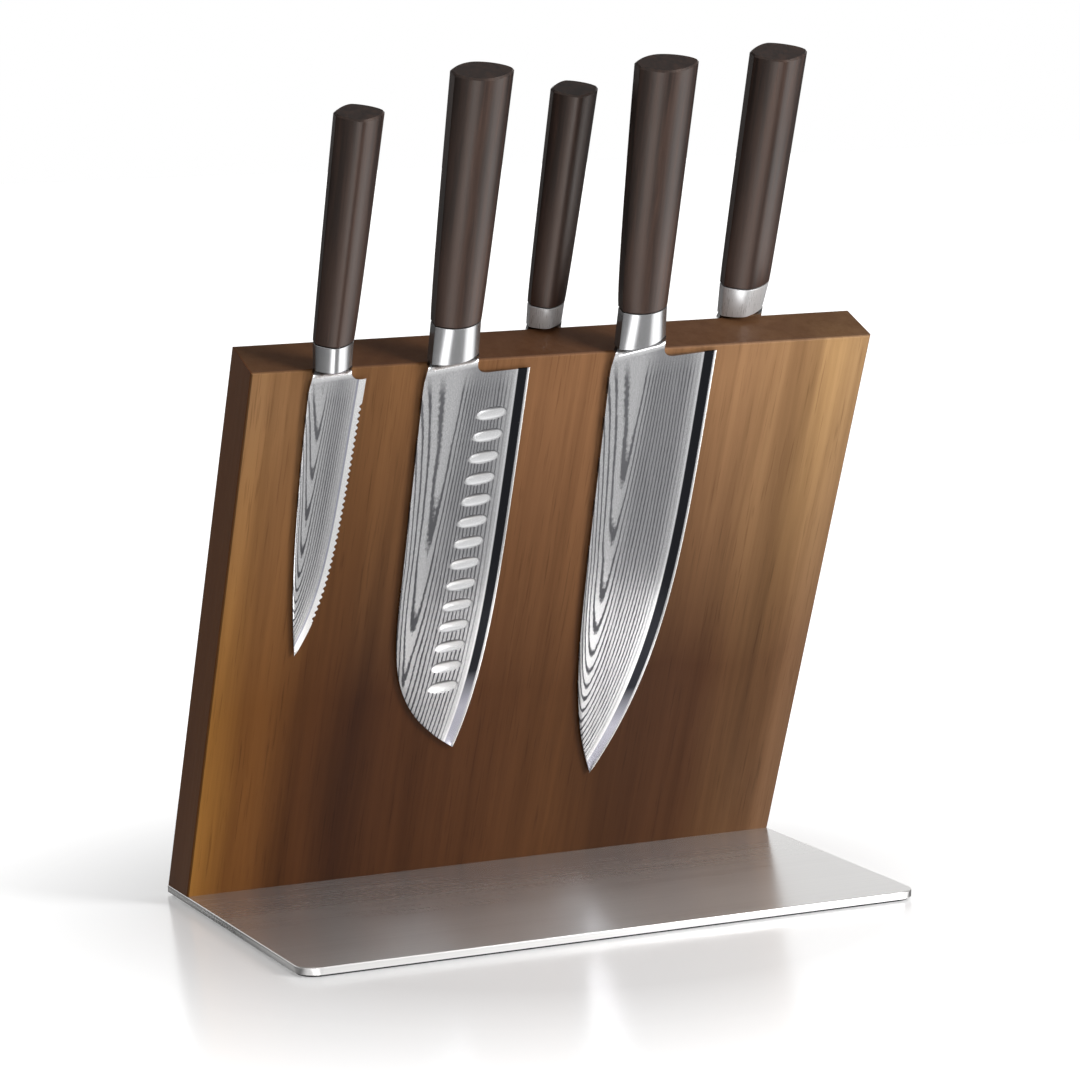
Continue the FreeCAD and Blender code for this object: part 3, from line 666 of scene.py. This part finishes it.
def layer_level(knife, x, d):
    """Height in the stack of layers that the grind lays bare at a place on the flank."""
    crest = crest_x(knife, d)
    t = x - crest
    soft = LOOP_ROUND * knife["pitch"]
    gain = crest_level(knife, d) - (edge_x(knife, d) - crest)
    reach = np.maximum(crest - spine_x(knife, d), 0.2)
    rise = gain * (1.0 - np.exp(-(t / CREST_WIDE) ** 2))
    to_edge = np.sqrt(t ** 2 + soft ** 2) - soft + rise
    steep = np.clip(FALL_LEAST + FALL_GAIN * d / knife["length"], FALL_LEAST, FALL_MOST)
    to_spine = steep * reach * np.clip(-t / reach, 0.0, 1.0) ** FALL_POWER
    fall = np.where(t > 0.0, to_edge, to_spine)
    return crest_level(knife, d) - fall - crest_level(knife, knife["tip_loop"])


def flank_shade(knife, x, d):
    """How much painted shade the flank gets: most past the crest and in the upper half."""
    past_crest = np.clip((x - crest_x(knife, d) + 1.0) / SHADE_RUN, 0.0, 1.0)
    upper = 1.0 - np.clip((d / knife["length"] - SHADE_FROM) / SHADE_FADE, 0.0, 1.0)
    from_band = edge_x(knife, d) - x - knife["bevel"] - knife["band"]
    off_band = np.clip(from_band / SHADE_EDGE_RUN, 0.0, 1.0)
    return knife["painted_shade"] * past_crest * off_band * (0.5 + 0.5 * upper)


def neck_rows(knife, columns, count):
    """Rows from the slanted end of the bolster down to the heel, with the rounded choil."""
    share = np.linspace(0.0, 1.0, columns)
    rows = []
    for i in range(count):
        t = i / count
        d_right = -knife["slant"] * (1.0 - t) + knife["heel"] * t
        lead = float(spine_x(knife, knife["heel"] * t))
        x = lead + (float(neck_right(knife, d_right)) - lead) * share
        d = -bolster_slope(knife) * (x - knife["bolster"][0]) * (1.0 - t) + knife["heel"] * t
        rows.append((x, d))
    return rows


def flat_grid(rows, points, faces):
    """Adds rows of equal length as a sheet of quads."""
    width = len(rows[0][0])
    start = len(points)
    for x, d in rows:
        points.extend(zip(x, d))
    for r in range(len(rows) - 1):
        for c in range(width - 1):
            a = start + r * width + c
            faces.append((a, a + 1, a + width + 1, a + width))


def blade_sheet(name, knife):
    """The blade's outline filled with quads, as points (x, d)."""
    share_in = np.linspace(0.0, 1.0, NECK_COLUMNS)
    share_out = np.linspace(0.0, 1.0, FLANK_COLUMNS) ** 0.85
    heel_x = knife["bolster"][1] + CHOIL_R
    split = heel_x / float(edge_x(knife, knife["heel"]))
    count = int((knife["length"] - knife["heel"]) / knife["row"])
    run = knife["length"] - TIP_GAP - knife["heel"]
    stations = knife["heel"] + run * np.linspace(0.0, 1.0, count)
    near, far = [], []
    for d in stations:
        spine = float(spine_x(knife, d))
        edge = float(edge_x(knife, d)) - float(scallop_bite(name, np.array(d)))
        middle = spine + (edge - spine) * split if d > knife["heel"] else heel_x
        near.append((spine + (middle - spine) * share_in, np.full(NECK_COLUMNS, d)))
        far.append((middle + (edge - middle) * share_out, np.full(FLANK_COLUMNS, d)))
    points, faces = [], []
    flat_grid(neck_rows(knife, NECK_COLUMNS, NECK_ROWS) + near, points, faces)
    flat_grid(far, points, faces)
    return np.array(points), faces


def thicken(points, faces, half):
    """Front and back sheets joined by a wall along every free edge."""
    count = len(points)
    front = np.column_stack([points[:, 0], -half, -points[:, 1]])
    back = np.column_stack([points[:, 0], half, -points[:, 1]])
    solid = list(faces) + [tuple(count + i for i in reversed(face)) for face in faces]
    sides = dict.fromkeys(side for face in faces for side in zip(face, face[1:] + face[:1]))
    for a, b in sides:
        if (b, a) not in sides:
            solid.append((b, a, count + a, count + b))
    return np.vstack([front, back]), solid


def merged_sheet(points, faces):
    """Gives coincident points of the sheet one number, so that its inner edges are shared."""
    keys = {}
    number = []
    kept = []
    for x, d in points:
        key = (round(x, 4), round(d, 4))
        if key not in keys:
            keys[key] = len(kept)
            kept.append((x, d))
        number.append(keys[key])
    shared = []
    for face in faces:
        corners = [number[i] for i in face]
        unique = tuple(dict.fromkeys(corners))
        if len(unique) > 2:
            shared.append(unique)
    return np.array(kept), shared


def add_tang(vertices, faces, knife):
    """A closed bar inside the bolster and the handle."""
    left, right = knife["joint"]
    middle = (left + right) / 2
    half_w = TANG_SHARE * (right - left) / 2
    half_t = TANG_T / 2
    start = len(vertices)
    corners = []
    for z in (TANG_START, TANG_LEN):
        for x, y in ((-half_w, -half_t), (half_w, -half_t), (half_w, half_t), (-half_w, half_t)):
            corners.append((middle + x, y, z))
    sides = ((0, 1, 5, 4), (1, 2, 6, 5), (2, 3, 7, 6), (3, 0, 4, 7))
    for face in ((3, 2, 1, 0), (4, 5, 6, 7), *sides):
        faces.append(tuple(start + i for i in face))
    return np.vstack([vertices, np.array(corners)])


def write_vector(mesh, name, values):
    """Keeps a vector for each point on the mesh, for the finish to read."""
    layer = mesh.attributes.new(name, "FLOAT_VECTOR", "POINT")
    layer.data.foreach_set("vector", np.asarray(values, dtype=np.float32).ravel())


def make_blade(name, knife, material):
    """A ground blade with its tang, and on its points the places that its finish needs."""
    points, faces = merged_sheet(*blade_sheet(name, knife))
    half = half_thickness(name, knife, points[:, 0], points[:, 1])
    vertices, solid = thicken(points, faces, half)
    vertices = add_tang(vertices, solid, knife)
    mesh = bpy.data.meshes.new(name + "_ground_blade")
    mesh.from_pydata(vertices.tolist(), [], solid)
    tidy_mesh(mesh, 24.0)
    own = np.empty(len(mesh.vertices) * 3, dtype=np.float32)
    mesh.vertices.foreach_get("co", own)
    own = own.reshape(-1, 3)
    d = -own[:, 2]
    x = own[:, 0]
    from_edge = edge_x(knife, d) - x
    write_vector(mesh, "own", own)
    write_vector(mesh, "field", np.column_stack([
        from_edge, layer_level(knife, x, d), flank_shade(knife, x, d)]))
    if name == "santoku":
        write_vector(mesh, "hollow", np.column_stack([*hollow_depth(x, d), np.zeros_like(x)]))
    mesh.materials.append(material)
    blade = link_piece(name + "_ground_blade", mesh)
    put_in_place(blade, knife)
    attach(blade, name + "_knife")
    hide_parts(name + "_blade")


# ---------------------------------------------------------------- rules, handles and bolsters

def new_rule(name, sizes):
    """An empty tree with named sizes, and the sockets that carry them."""
    tree = bpy.data.node_groups.new(name, "GeometryNodeTree")
    tree.interface.new_socket("Geometry", in_out="OUTPUT", socket_type="NodeSocketGeometry")
    for label, (kind, value) in sizes.items():
        socket = tree.interface.new_socket(label, in_out="INPUT", socket_type=kind)
        if value is not None:
            socket.default_value = value
    return tree, add(tree, "NodeGroupInput").outputs


GRIP_SIZES = {
    "Around": ("NodeSocketInt", 100), "Rings": ("NodeSocketInt", 40),
    "Low End": ("NodeSocketFloat", 0.0), "High End": ("NodeSocketFloat", 100.0),
    "Low Left": ("NodeSocketFloat", 0.0), "Low Right": ("NodeSocketFloat", 17.0),
    "High Left": ("NodeSocketFloat", 0.0), "High Right": ("NodeSocketFloat", 20.0),
    "Low Thickness": ("NodeSocketFloat", 12.0), "High Thickness": ("NodeSocketFloat", 16.0),
    "Flat": ("NodeSocketFloat", 2.0), "Ridge": ("NodeSocketFloat", 1.5),
    "Swell": ("NodeSocketFloat", 1.0), "Slant": ("NodeSocketFloat", 0.0),
    "Eased Edge": ("NodeSocketFloat", 0.5), "Finish": ("NodeSocketMaterial", None),
}


def grip_tree():
    """Rule for a grip: rings of one section, flat at the spine, ridged on both cheeks and
    eased at the edge side, that change size from one end to the other and close at the ends."""
    tree, size = new_rule("grip_rule", GRIP_SIZES)
    columns = calc(tree, "ADD", size["Around"], 1.0)
    grid = add(tree, "GeometryNodeMeshGrid", {
        "Size X": 1.0, "Size Y": 1.0, "Vertices X": columns, "Vertices Y": size["Rings"]})
    at = parts_of(tree, add(tree, "GeometryNodeInputPosition").outputs[0])

    last = calc(tree, "SUBTRACT", size["Rings"], 1.0)
    ring = calc(tree, "MULTIPLY", calc(tree, "ADD", at[1], 0.5), last)
    ring = calc(tree, "ROUND", ring)
    past_rim = calc(tree, "SUBTRACT", ring, 1.0, clamp=True)
    to_rim = calc(tree, "SUBTRACT", ring, calc(tree, "SUBTRACT", last, 2.0), clamp=True)
    body = calc(tree, "DIVIDE", calc(tree, "SUBTRACT", ring, 2.0),
                calc(tree, "SUBTRACT", last, 4.0), clamp=True)
    eased = size["Eased Edge"]
    span = calc(tree, "SUBTRACT", size["High End"], size["Low End"])
    straight = calc(tree, "SUBTRACT", span, calc(tree, "MULTIPLY", eased, 2.0))
    climb = calc(tree, "MULTIPLY_ADD", body, straight, calc(tree, "MULTIPLY", past_rim, eased))
    climb = calc(tree, "MULTIPLY_ADD", to_rim, eased, climb)
    share = calc(tree, "DIVIDE", climb, span, clamp=True)
    inset = calc(tree, "SUBTRACT", calc(tree, "ADD", to_rim, 1.0), past_rim)
    inset = calc(tree, "MULTIPLY", inset, eased)
    pole = calc(tree, "MULTIPLY", calc(tree, "ADD", ring, 0.0, clamp=True),
                calc(tree, "SUBTRACT", last, ring, clamp=True))

    def between(low, high, factor):
        change = calc(tree, "SUBTRACT", size[high], size[low])
        return calc(tree, "MULTIPLY_ADD", change, factor, size[low])

    swell = calc(tree, "POWER", share, size["Swell"])
    left = between("Low Left", "High Left", swell)
    right = between("Low Right", "High Right", swell)
    thick = between("Low Thickness", "High Thickness", share)
    middle = calc(tree, "MULTIPLY", calc(tree, "ADD", left, right), 0.5)
    half_w = calc(tree, "MULTIPLY", calc(tree, "SUBTRACT", right, left), 0.5)
    half_w = calc(tree, "SUBTRACT", half_w, inset)
    half_t = calc(tree, "SUBTRACT", calc(tree, "MULTIPLY", thick, 0.5), inset)
    flat = calc(tree, "SUBTRACT", size["Flat"], calc(tree, "MULTIPLY", inset, 0.5))

    turn = calc(tree, "MULTIPLY", calc(tree, "ADD", at[0], 0.5), 2.0)
    on_back = calc(tree, "GREATER_THAN", turn, 0.9999)
    side = calc(tree, "MULTIPLY_ADD", on_back, 2.0, -1.0)
    part = calc(tree, "SUBTRACT", turn, on_back)
    cheek = calc(tree, "DIVIDE", part, CHEEK_SHARE, clamp=True)
    facet = calc(tree, "DIVIDE", calc(tree, "SUBTRACT", part, CHEEK_SHARE),
                 1.0 - CHEEK_SHARE, clamp=True)
    across = calc(tree, "COSINE", calc(tree, "MULTIPLY", cheek, math.pi))
    across = calc(tree, "MULTIPLY", across, side)
    lean = calc(tree, "SUBTRACT", 1.0, calc(tree, "MULTIPLY", across, across))
    off_ridge = calc(tree, "MULTIPLY_ADD", lean, RIDGE_OFF, across)
    fall = calc(tree, "POWER", calc(tree, "ABSOLUTE", off_ridge), size["Ridge"])
    stay = calc(tree, "SUBTRACT", 1.0, fall, clamp=True)
    spine_side = calc(tree, "MULTIPLY_ADD", calc(tree, "SUBTRACT", half_t, flat),
                      calc(tree, "POWER", stay, SPINE_SIDE_POWER), flat)
    edge_side = calc(tree, "MULTIPLY", half_t, calc(tree, "POWER", stay, EDGE_SIDE_POWER))
    past = calc(tree, "GREATER_THAN", off_ridge, 0.0)
    height = calc(tree, "MULTIPLY_ADD", calc(tree, "SUBTRACT", edge_side, spine_side), past,
                  spine_side)
    over = calc(tree, "MULTIPLY_ADD", facet, -2.0, 1.0)
    depth = calc(tree, "MULTIPLY", calc(tree, "MULTIPLY", height, side), over)

    reach = calc(tree, "MULTIPLY", calc(tree, "MULTIPLY", half_w, across), pole)
    x = calc(tree, "ADD", middle, reach)
    y = calc(tree, "MULTIPLY", depth, pole)
    tilt = calc(tree, "MULTIPLY", calc(tree, "SUBTRACT", x, left),
                calc(tree, "DIVIDE", size["Slant"], calc(tree, "SUBTRACT", right, left)))
    tilt = calc(tree, "MULTIPLY", tilt, calc(tree, "SUBTRACT", 1.0, share))
    z = calc(tree, "ADD", calc(tree, "ADD", size["Low End"], climb), tilt)
    where = add(tree, "ShaderNodeCombineXYZ", {0: x, 1: y, 2: z}).outputs[0]

    shaped = add(tree, "GeometryNodeSetPosition", {
        "Geometry": grid.outputs["Mesh"], "Position": where})
    joined = add(tree, "GeometryNodeMergeByDistance", {
        "Geometry": shaped.outputs[0], "Distance": 0.001})
    marked = add(tree, "GeometryNodeStoreNamedAttribute", {
        "Geometry": joined.outputs[0], "Name": "own",
        "Value": add(tree, "GeometryNodeInputPosition").outputs[0]},
        data_type="FLOAT_VECTOR", domain="POINT")
    whole = add(tree, "GeometryNodeRealizeInstances", {0: marked.outputs[0]})
    finished = add(tree, "GeometryNodeSetMaterial", {
        "Geometry": whole.outputs[0], "Material": size["Finish"]})
    add(tree, "NodeGroupOutput", {0: finished.outputs[0]})
    return tree


def grown(name, tree, sizes):
    """The plain mesh that a tree gives with these sizes."""
    seed = link_piece(name, bpy.data.meshes.new(name + "_seed"))
    rule = seed.modifiers.new("rule", "NODES")
    rule.node_group = tree
    for item in tree.interface.items_tree:
        if item.in_out == "INPUT" and item.name in sizes:
            rule[item.identifier] = sizes[item.name]
    depsgraph = bpy.context.evaluated_depsgraph_get()
    mesh = bpy.data.meshes.new_from_object(seed.evaluated_get(depsgraph))
    bpy.data.objects.remove(seed)
    return mesh


def make_grip(name, tree, sizes, knife, body, node):
    """A handle or a bolster by the grip rule, on its body and in its part's place."""
    mesh = grown(name + "_rule", tree, sizes)
    tidy_mesh(mesh, 26.0)
    grip = link_piece(name, mesh)
    put_in_place(grip, knife)
    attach(grip, body)
    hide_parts(node)


def make_handle(name, knife, tree, wood):
    """The wooden handle, which swells from the joint to the butt."""
    make_grip(name + "_grip", tree, {
        "Around": 100, "Rings": 44, "Low End": knife["joint_z"], "High End": knife["butt_z"],
        "Low Left": knife["joint"][0], "Low Right": knife["joint"][1],
        "High Left": knife["butt"][0], "High Right": knife["butt"][1],
        "Low Thickness": knife["thick"][0], "High Thickness": knife["thick"][1],
        "Flat": knife["flat"], "Ridge": knife["ridge"], "Swell": HANDLE_SWELL, "Slant": 0.0,
        "Eased Edge": GRIP_EDGE, "Finish": wood},
        knife, name + "_knife", name + "_handle")


def make_bolster(name, knife, tree, steel):
    """The steel collar between blade and handle, cut on a slant at its lower end."""
    make_grip(name + "_collar", tree, {
        "Around": 100, "Rings": 12, "Low End": 0.0, "High End": knife["joint_z"],
        "Low Left": knife["bolster"][0], "Low Right": knife["bolster"][1],
        "High Left": knife["joint"][0], "High Right": knife["joint"][1],
        "Low Thickness": COLLAR_FOOT * knife["thick"][0], "High Thickness": knife["thick"][0],
        "Flat": knife["flat"], "Ridge": knife["ridge"], "Swell": 1.0, "Slant": knife["slant"],
        "Eased Edge": COLLAR_EDGE, "Finish": steel},
        knife, name + "_knife", name + "_bolster")


# ---------------------------------------------------------------- screws

SCREW_SIZES = {
    "Around": ("NodeSocketInt", 48), "Rings": ("NodeSocketInt", 100),
    "Length": ("NodeSocketFloat", 14.0), "Shank Radius": ("NodeSocketFloat", 2.42),
    "Head Radius": ("NodeSocketFloat", 4.9), "Head Height": ("NodeSocketFloat", 2.5),
    "Across Flats": ("NodeSocketFloat", 3.0), "Socket Depth": ("NodeSocketFloat", 1.6),
    "Pitch": ("NodeSocketFloat", 0.8), "Thread Depth": ("NodeSocketFloat", 0.4),
    "Count": ("NodeSocketInt", 4), "Spacing": ("NodeSocketFloat", 68.0),
    "Finish": ("NodeSocketMaterial", None),
}


def screw_tree():
    """Rule for a row of screws: rings run from the middle of the hexagon socket out over the
    head, down its cone and along a thread that climbs with the angle, and close at the tip."""
    tree, size = new_rule("screw_rule", SCREW_SIZES)
    grid = add(tree, "GeometryNodeMeshGrid", {
        "Size X": 1.0, "Size Y": 1.0,
        "Vertices X": calc(tree, "ADD", size["Around"], 1.0), "Vertices Y": size["Rings"]})
    at = parts_of(tree, add(tree, "GeometryNodeInputPosition").outputs[0])
    last = calc(tree, "SUBTRACT", size["Rings"], 1.0)
    ring = calc(tree, "ROUND", calc(tree, "MULTIPLY", calc(tree, "ADD", at[1], 0.5), last))
    turn = calc(tree, "ADD", at[0], 0.5)
    angle = calc(tree, "MULTIPLY", turn, -math.tau)

    sector = calc(tree, "MULTIPLY", turn, 6.0)
    off_flat = calc(tree, "SUBTRACT", calc(tree, "FRACT", sector), 0.5)
    off_flat = calc(tree, "MULTIPLY", off_flat, math.pi / 3)
    hexagon = calc(tree, "DIVIDE", calc(tree, "MULTIPLY", size["Across Flats"], 0.5),
                   calc(tree, "COSINE", off_flat))

    def step(first):
        """One from this ring on, and nought before it."""
        return calc(tree, "SUBTRACT", ring, first - 1.0, clamp=True)

    along = calc(tree, "DIVIDE", calc(tree, "SUBTRACT", ring, 4.0),
                 calc(tree, "SUBTRACT", last, 6.0), clamp=True)
    shank = calc(tree, "SUBTRACT", size["Length"], size["Head Height"])
    down = calc(tree, "MULTIPLY", shank, along)
    climb = calc(tree, "DIVIDE", down, size["Pitch"])
    phase = calc(tree, "FRACT", calc(tree, "ADD", turn, climb))
    groove = calc(tree, "ABSOLUTE", calc(tree, "MULTIPLY_ADD", phase, 2.0, -1.0))
    start = remap(tree, along, 0.06, 0.14)
    groove = calc(tree, "MULTIPLY", calc(tree, "MULTIPLY", groove, start),
                  size["Thread Depth"])
    outer = calc(tree, "SUBTRACT", size["Shank Radius"], groove)
    outer = calc(tree, "MULTIPLY", outer, remap(tree, along, 0.96, 1.0, 1.0, 0.86))
    cone = calc(tree, "SUBTRACT", outer, size["Head Radius"])
    rim = calc(tree, "SUBTRACT", size["Head Radius"], hexagon)
    radius = calc(tree, "MULTIPLY", step(1.0), hexagon)
    radius = calc(tree, "MULTIPLY_ADD", step(3.0), rim, radius)
    radius = calc(tree, "MULTIPLY_ADD", step(4.0), cone, radius)
    closing = calc(tree, "SUBTRACT", last, ring, clamp=True)
    radius = calc(tree, "MULTIPLY", radius, closing)
    floor = calc(tree, "MULTIPLY", calc(tree, "SUBTRACT", 1.0, step(2.0)),
                 size["Socket Depth"])
    z = calc(tree, "MULTIPLY_ADD", step(4.0), size["Head Height"], floor)
    z = calc(tree, "ADD", z, down)
    where = add(tree, "ShaderNodeCombineXYZ", {
        0: calc(tree, "MULTIPLY", radius, calc(tree, "COSINE", angle)),
        1: calc(tree, "MULTIPLY", radius, calc(tree, "SINE", angle)), 2: z}).outputs[0]
    shaped = add(tree, "GeometryNodeSetPosition", {
        "Geometry": grid.outputs["Mesh"], "Position": where})
    joined = add(tree, "GeometryNodeMergeByDistance", {
        "Geometry": shaped.outputs[0], "Distance": 0.0005})
    gaps = calc(tree, "SUBTRACT", size["Count"], 1.0)
    run = calc(tree, "MULTIPLY", gaps, size["Spacing"])
    row = add(tree, "GeometryNodeMeshLine", {
        "Count": size["Count"],
        "Start Location": add(tree, "ShaderNodeCombineXYZ", {
            0: calc(tree, "MULTIPLY", run, -0.5)}).outputs[0],
        "Offset": add(tree, "ShaderNodeCombineXYZ", {0: size["Spacing"]}).outputs[0]})
    placed = add(tree, "GeometryNodeInstanceOnPoints", {
        "Points": row.outputs[0], "Instance": joined.outputs[0]})
    whole = add(tree, "GeometryNodeRealizeInstances", {0: placed.outputs[0]})
    finished = add(tree, "GeometryNodeSetMaterial", {
        "Geometry": whole.outputs[0], "Material": size["Finish"]})
    add(tree, "NodeGroupOutput", {0: finished.outputs[0]})
    return tree


def make_screws(steel):
    """The countersunk screws that come up through the plate into the board's foot."""
    mesh = grown("base_screws_rule", screw_tree(), {"Count": 4, "Finish": steel})
    tidy_mesh(mesh, 30.0)
    screws = link_piece("threaded_screws", mesh)
    middle = BOARD_FOOT_Y + BOARD_T / math.cos(LEAN) / 2 - SCREW_FORWARD
    place = Matrix.Translation((0.0, middle * MM, PAD_T * MM)) @ Matrix.Scale(MM, 4)
    mesh.transform(place)
    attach(screws, "stand")
    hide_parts("base_screws")


# ---------------------------------------------------------------- stage, light and camera

def make_floor():
    """White gloss table that the eye sees as plain white, with a soft mirror image on it."""
    material, tree, shader = finish_named("pale_floor")
    place = object_place(tree)
    cloud = noise(tree, place, 3.0, 2.0)
    colour = ramp(tree, cloud, [(0.3, (0.80, 0.80, 0.80)), (0.7, (0.82, 0.82, 0.82))])
    connect(tree, shader, colour, remap(tree, cloud, 0.3, 0.7, 0.17, 0.20))
    # Painted light: to the eye the floor glows, less near the middle, where its mirror image shows,
    # and more further off, where the glow covers the shadows on it.
    ray = add(tree, "ShaderNodeLightPath").outputs["Is Camera Ray"]
    away = add(tree, "ShaderNodeVectorMath", {0: place}, operation="LENGTH").outputs["Value"]
    glow = remap(tree, away, GLOW_FROM, GLOW_TO, FLOOR_GLOW, FLOOR_GLOW_FAR)
    shader.inputs["Emission Color"].default_value = (1.0, 1.0, 1.0, 1.0)
    tree.links.new(calc(tree, "MULTIPLY", ray, glow), shader.inputs["Emission Strength"])
    mesh = bpy.data.meshes.new("floor")
    r = FLOOR_HALF
    mesh.from_pydata([(-r, -r, 0), (r, -r, 0), (r, r, 0), (-r, r, 0)], [], [(0, 1, 2, 3)])
    mesh.materials.append(material)
    floor = link_piece("floor", mesh)
    floor.visible_glossy = False


def make_light(name, place, target, size, power):
    """A flat lamp at a place, turned to a target, in metres and watts."""
    lamp = bpy.data.lights.new(name, "AREA")
    lamp.shape = "RECTANGLE"
    lamp.size, lamp.size_y = size
    lamp.energy = power
    lamp_object = link_piece(name, lamp)
    lamp_object.location = place
    aim = Vector(target) - Vector(place)
    lamp_object.rotation_euler = aim.to_track_quat("-Z", "Y").to_euler()


def make_world():
    """Plain white to the eye. Polished surfaces see upright softboxes, a pale backdrop and dim
    gaps between them."""
    world = bpy.data.worlds.new("studio")
    bpy.context.scene.world = world
    world.use_nodes = True
    tree = world.node_tree
    split = parts_of(tree, add(tree, "ShaderNodeTexCoord").outputs["Generated"])
    front = remap(tree, split[1], -0.45, 0.10, 1.0, 0.0)
    rise = remap(tree, split[2], -0.62, -0.30, 0.64, 1.0)
    level = calc(tree, "MULTIPLY_ADD", calc(tree, "SUBTRACT", rise, DIM_GAP), front, DIM_GAP)
    backdrop = calc(tree, "MULTIPLY", remap(tree, split[2], -0.03, 0.06),
                    remap(tree, split[1], 0.1, 0.5))
    backdrop = calc(tree, "MULTIPLY", backdrop, remap(tree, split[2], 0.65, 0.35))
    level = calc(tree, "ADD", level, backdrop)
    below = calc(tree, "MULTIPLY", remap(tree, split[2], -0.25, -0.40),
                 remap(tree, split[2], -0.93, -0.84))
    flat_way = add(tree, "ShaderNodeCombineXYZ", {0: split[0], 1: split[1], 2: 0.0}).outputs[0]
    flat_way = add(tree, "ShaderNodeVectorMath", {0: flat_way}, operation="NORMALIZE").outputs[0]
    for bearing, inner, outer, strength in SOFTBOXES:
        turn = math.radians(bearing)
        toward = add(tree, "ShaderNodeVectorMath", {
            0: flat_way, 1: (math.sin(turn), -math.cos(turn), 0.0)},
            operation="DOT_PRODUCT").outputs["Value"]
        box = remap(tree, toward, math.cos(math.radians(outer)),
                    math.cos(math.radians(inner)), 0.0, strength)
        level = calc(tree, "MULTIPLY_ADD", box, below, level)
    path = add(tree, "ShaderNodeLightPath").outputs
    again = calc(tree, "GREATER_THAN", path["Glossy Depth"], 1.5)
    level = add(tree, "ShaderNodeMix", {0: again, 2: level, 3: SECOND_IMAGE},
                data_type="FLOAT").outputs[0]
    seen = add(tree, "ShaderNodeMix", {0: path["Is Glossy Ray"], 2: AMBIENT, 3: level},
               data_type="FLOAT").outputs[0]
    seen = add(tree, "ShaderNodeMix", {0: path["Is Camera Ray"], 2: seen, 3: 1.0},
               data_type="FLOAT").outputs[0]
    back = tree.nodes["Background"]
    tree.links.new(seen, back.inputs["Strength"])
    back.inputs["Color"].default_value = (1.0, 1.0, 1.0, 1.0)


def make_camera():
    """Front left, a little above: placed by bearing, height angle and distance."""
    bearing = math.radians(24.07)
    height = math.radians(8.27)
    roll = math.radians(1.09)
    distance = 1.610
    target = Vector((0.0167, 0.030, 0.1455))
    ahead = Vector((math.sin(bearing) * math.cos(height),
                    math.cos(bearing) * math.cos(height), -math.sin(height)))
    right = Vector((math.cos(bearing), -math.sin(bearing), 0.0))
    down = ahead.cross(right)
    turned_right = right * math.cos(roll) + down * math.sin(roll)
    turned_up = right * math.sin(roll) - down * math.cos(roll)
    camera = bpy.data.cameras.new("camera")
    camera.sensor_width = 36.0
    camera.lens = 127.5
    eye = link_piece("camera", camera)
    axes = Matrix((turned_right, turned_up, -ahead)).transposed()
    eye.matrix_world = Matrix.Translation(target - ahead * distance) @ axes.to_4x4()
    bpy.context.scene.camera = eye


# ---------------------------------------------------------------- the object

def dress(node, material):
    """Gives a carried-over part its finish."""
    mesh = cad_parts[node].data
    mesh.materials.clear()
    mesh.materials.append(material)


def dress_stand():
    """Finishes for the board, the base and what is inside them, and the screws."""
    wood = board_wood()
    base = brushed_plate()
    plated = object_steel("magnet_plating", (0.72, 0.70, 0.66), 0.2, 0.3, (40.0, 40.0, 40.0))
    mill = object_steel("keeper_steel", (0.42, 0.42, 0.44), 0.35, 0.5, (9.0, 300.0, 300.0))
    brass = object_steel("insert_brass", (0.75, 0.56, 0.26), 0.2, 0.3, (60.0, 60.0, 900.0))
    screw = object_steel("screw_steel", (0.55, 0.55, 0.57), 0.25, 0.35, (60.0, 60.0, 900.0))
    rubber = pad_rubber()
    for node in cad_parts:
        if "_stave_" in node:
            dress(node, wood)
        elif "_magnet_" in node:
            dress(node, plated)
        elif node.startswith("keeper_strip"):
            dress(node, mill)
    dress("base_plate", base)
    dress("non_slip_pad", rubber)
    dress("threaded_inserts", brass)
    make_screws(screw)


def make_knives():
    wood = handle_wood()
    marks = (3.0, 3.0, 0.1)
    # One steel for all bolsters, in two copies: darker for the front knives, which is painted shade,
    # and lighter and partly matt for the rear ones, which is painted light.
    steel = {"front": satin_steel("front_bolster_shaded_steel", 0.34, 0.16, 0.22, marks, 0.85),
             "rear": satin_steel("rear_bolster_lit_steel", 0.62, 0.26, 0.32, marks, 0.45)}
    rule = grip_tree()
    for name, knife in KNIVES.items():
        make_blade(name, knife, layered_steel(name + "_layered_steel", knife))
        make_bolster(name, knife, rule, steel[knife["face"]])
        make_handle(name, knife, rule, wood)


def light_studio():
    """White surroundings, a key lamp from the front right, a weak one overhead, and the camera."""
    make_world()
    make_floor()
    make_light("key", (0.80, -0.95, 0.55), (0.0, 0.0, 0.20), (0.5, 0.5), 17.0)
    make_light("top_fill", (0.10, -0.30, 1.40), (0.0, 0.0, 0.16), (0.9, 0.9), 2.5)
    bpy.context.scene.view_settings.view_transform = "Standard"
    make_camera()


light_studio()
dress_stand()
make_knives()
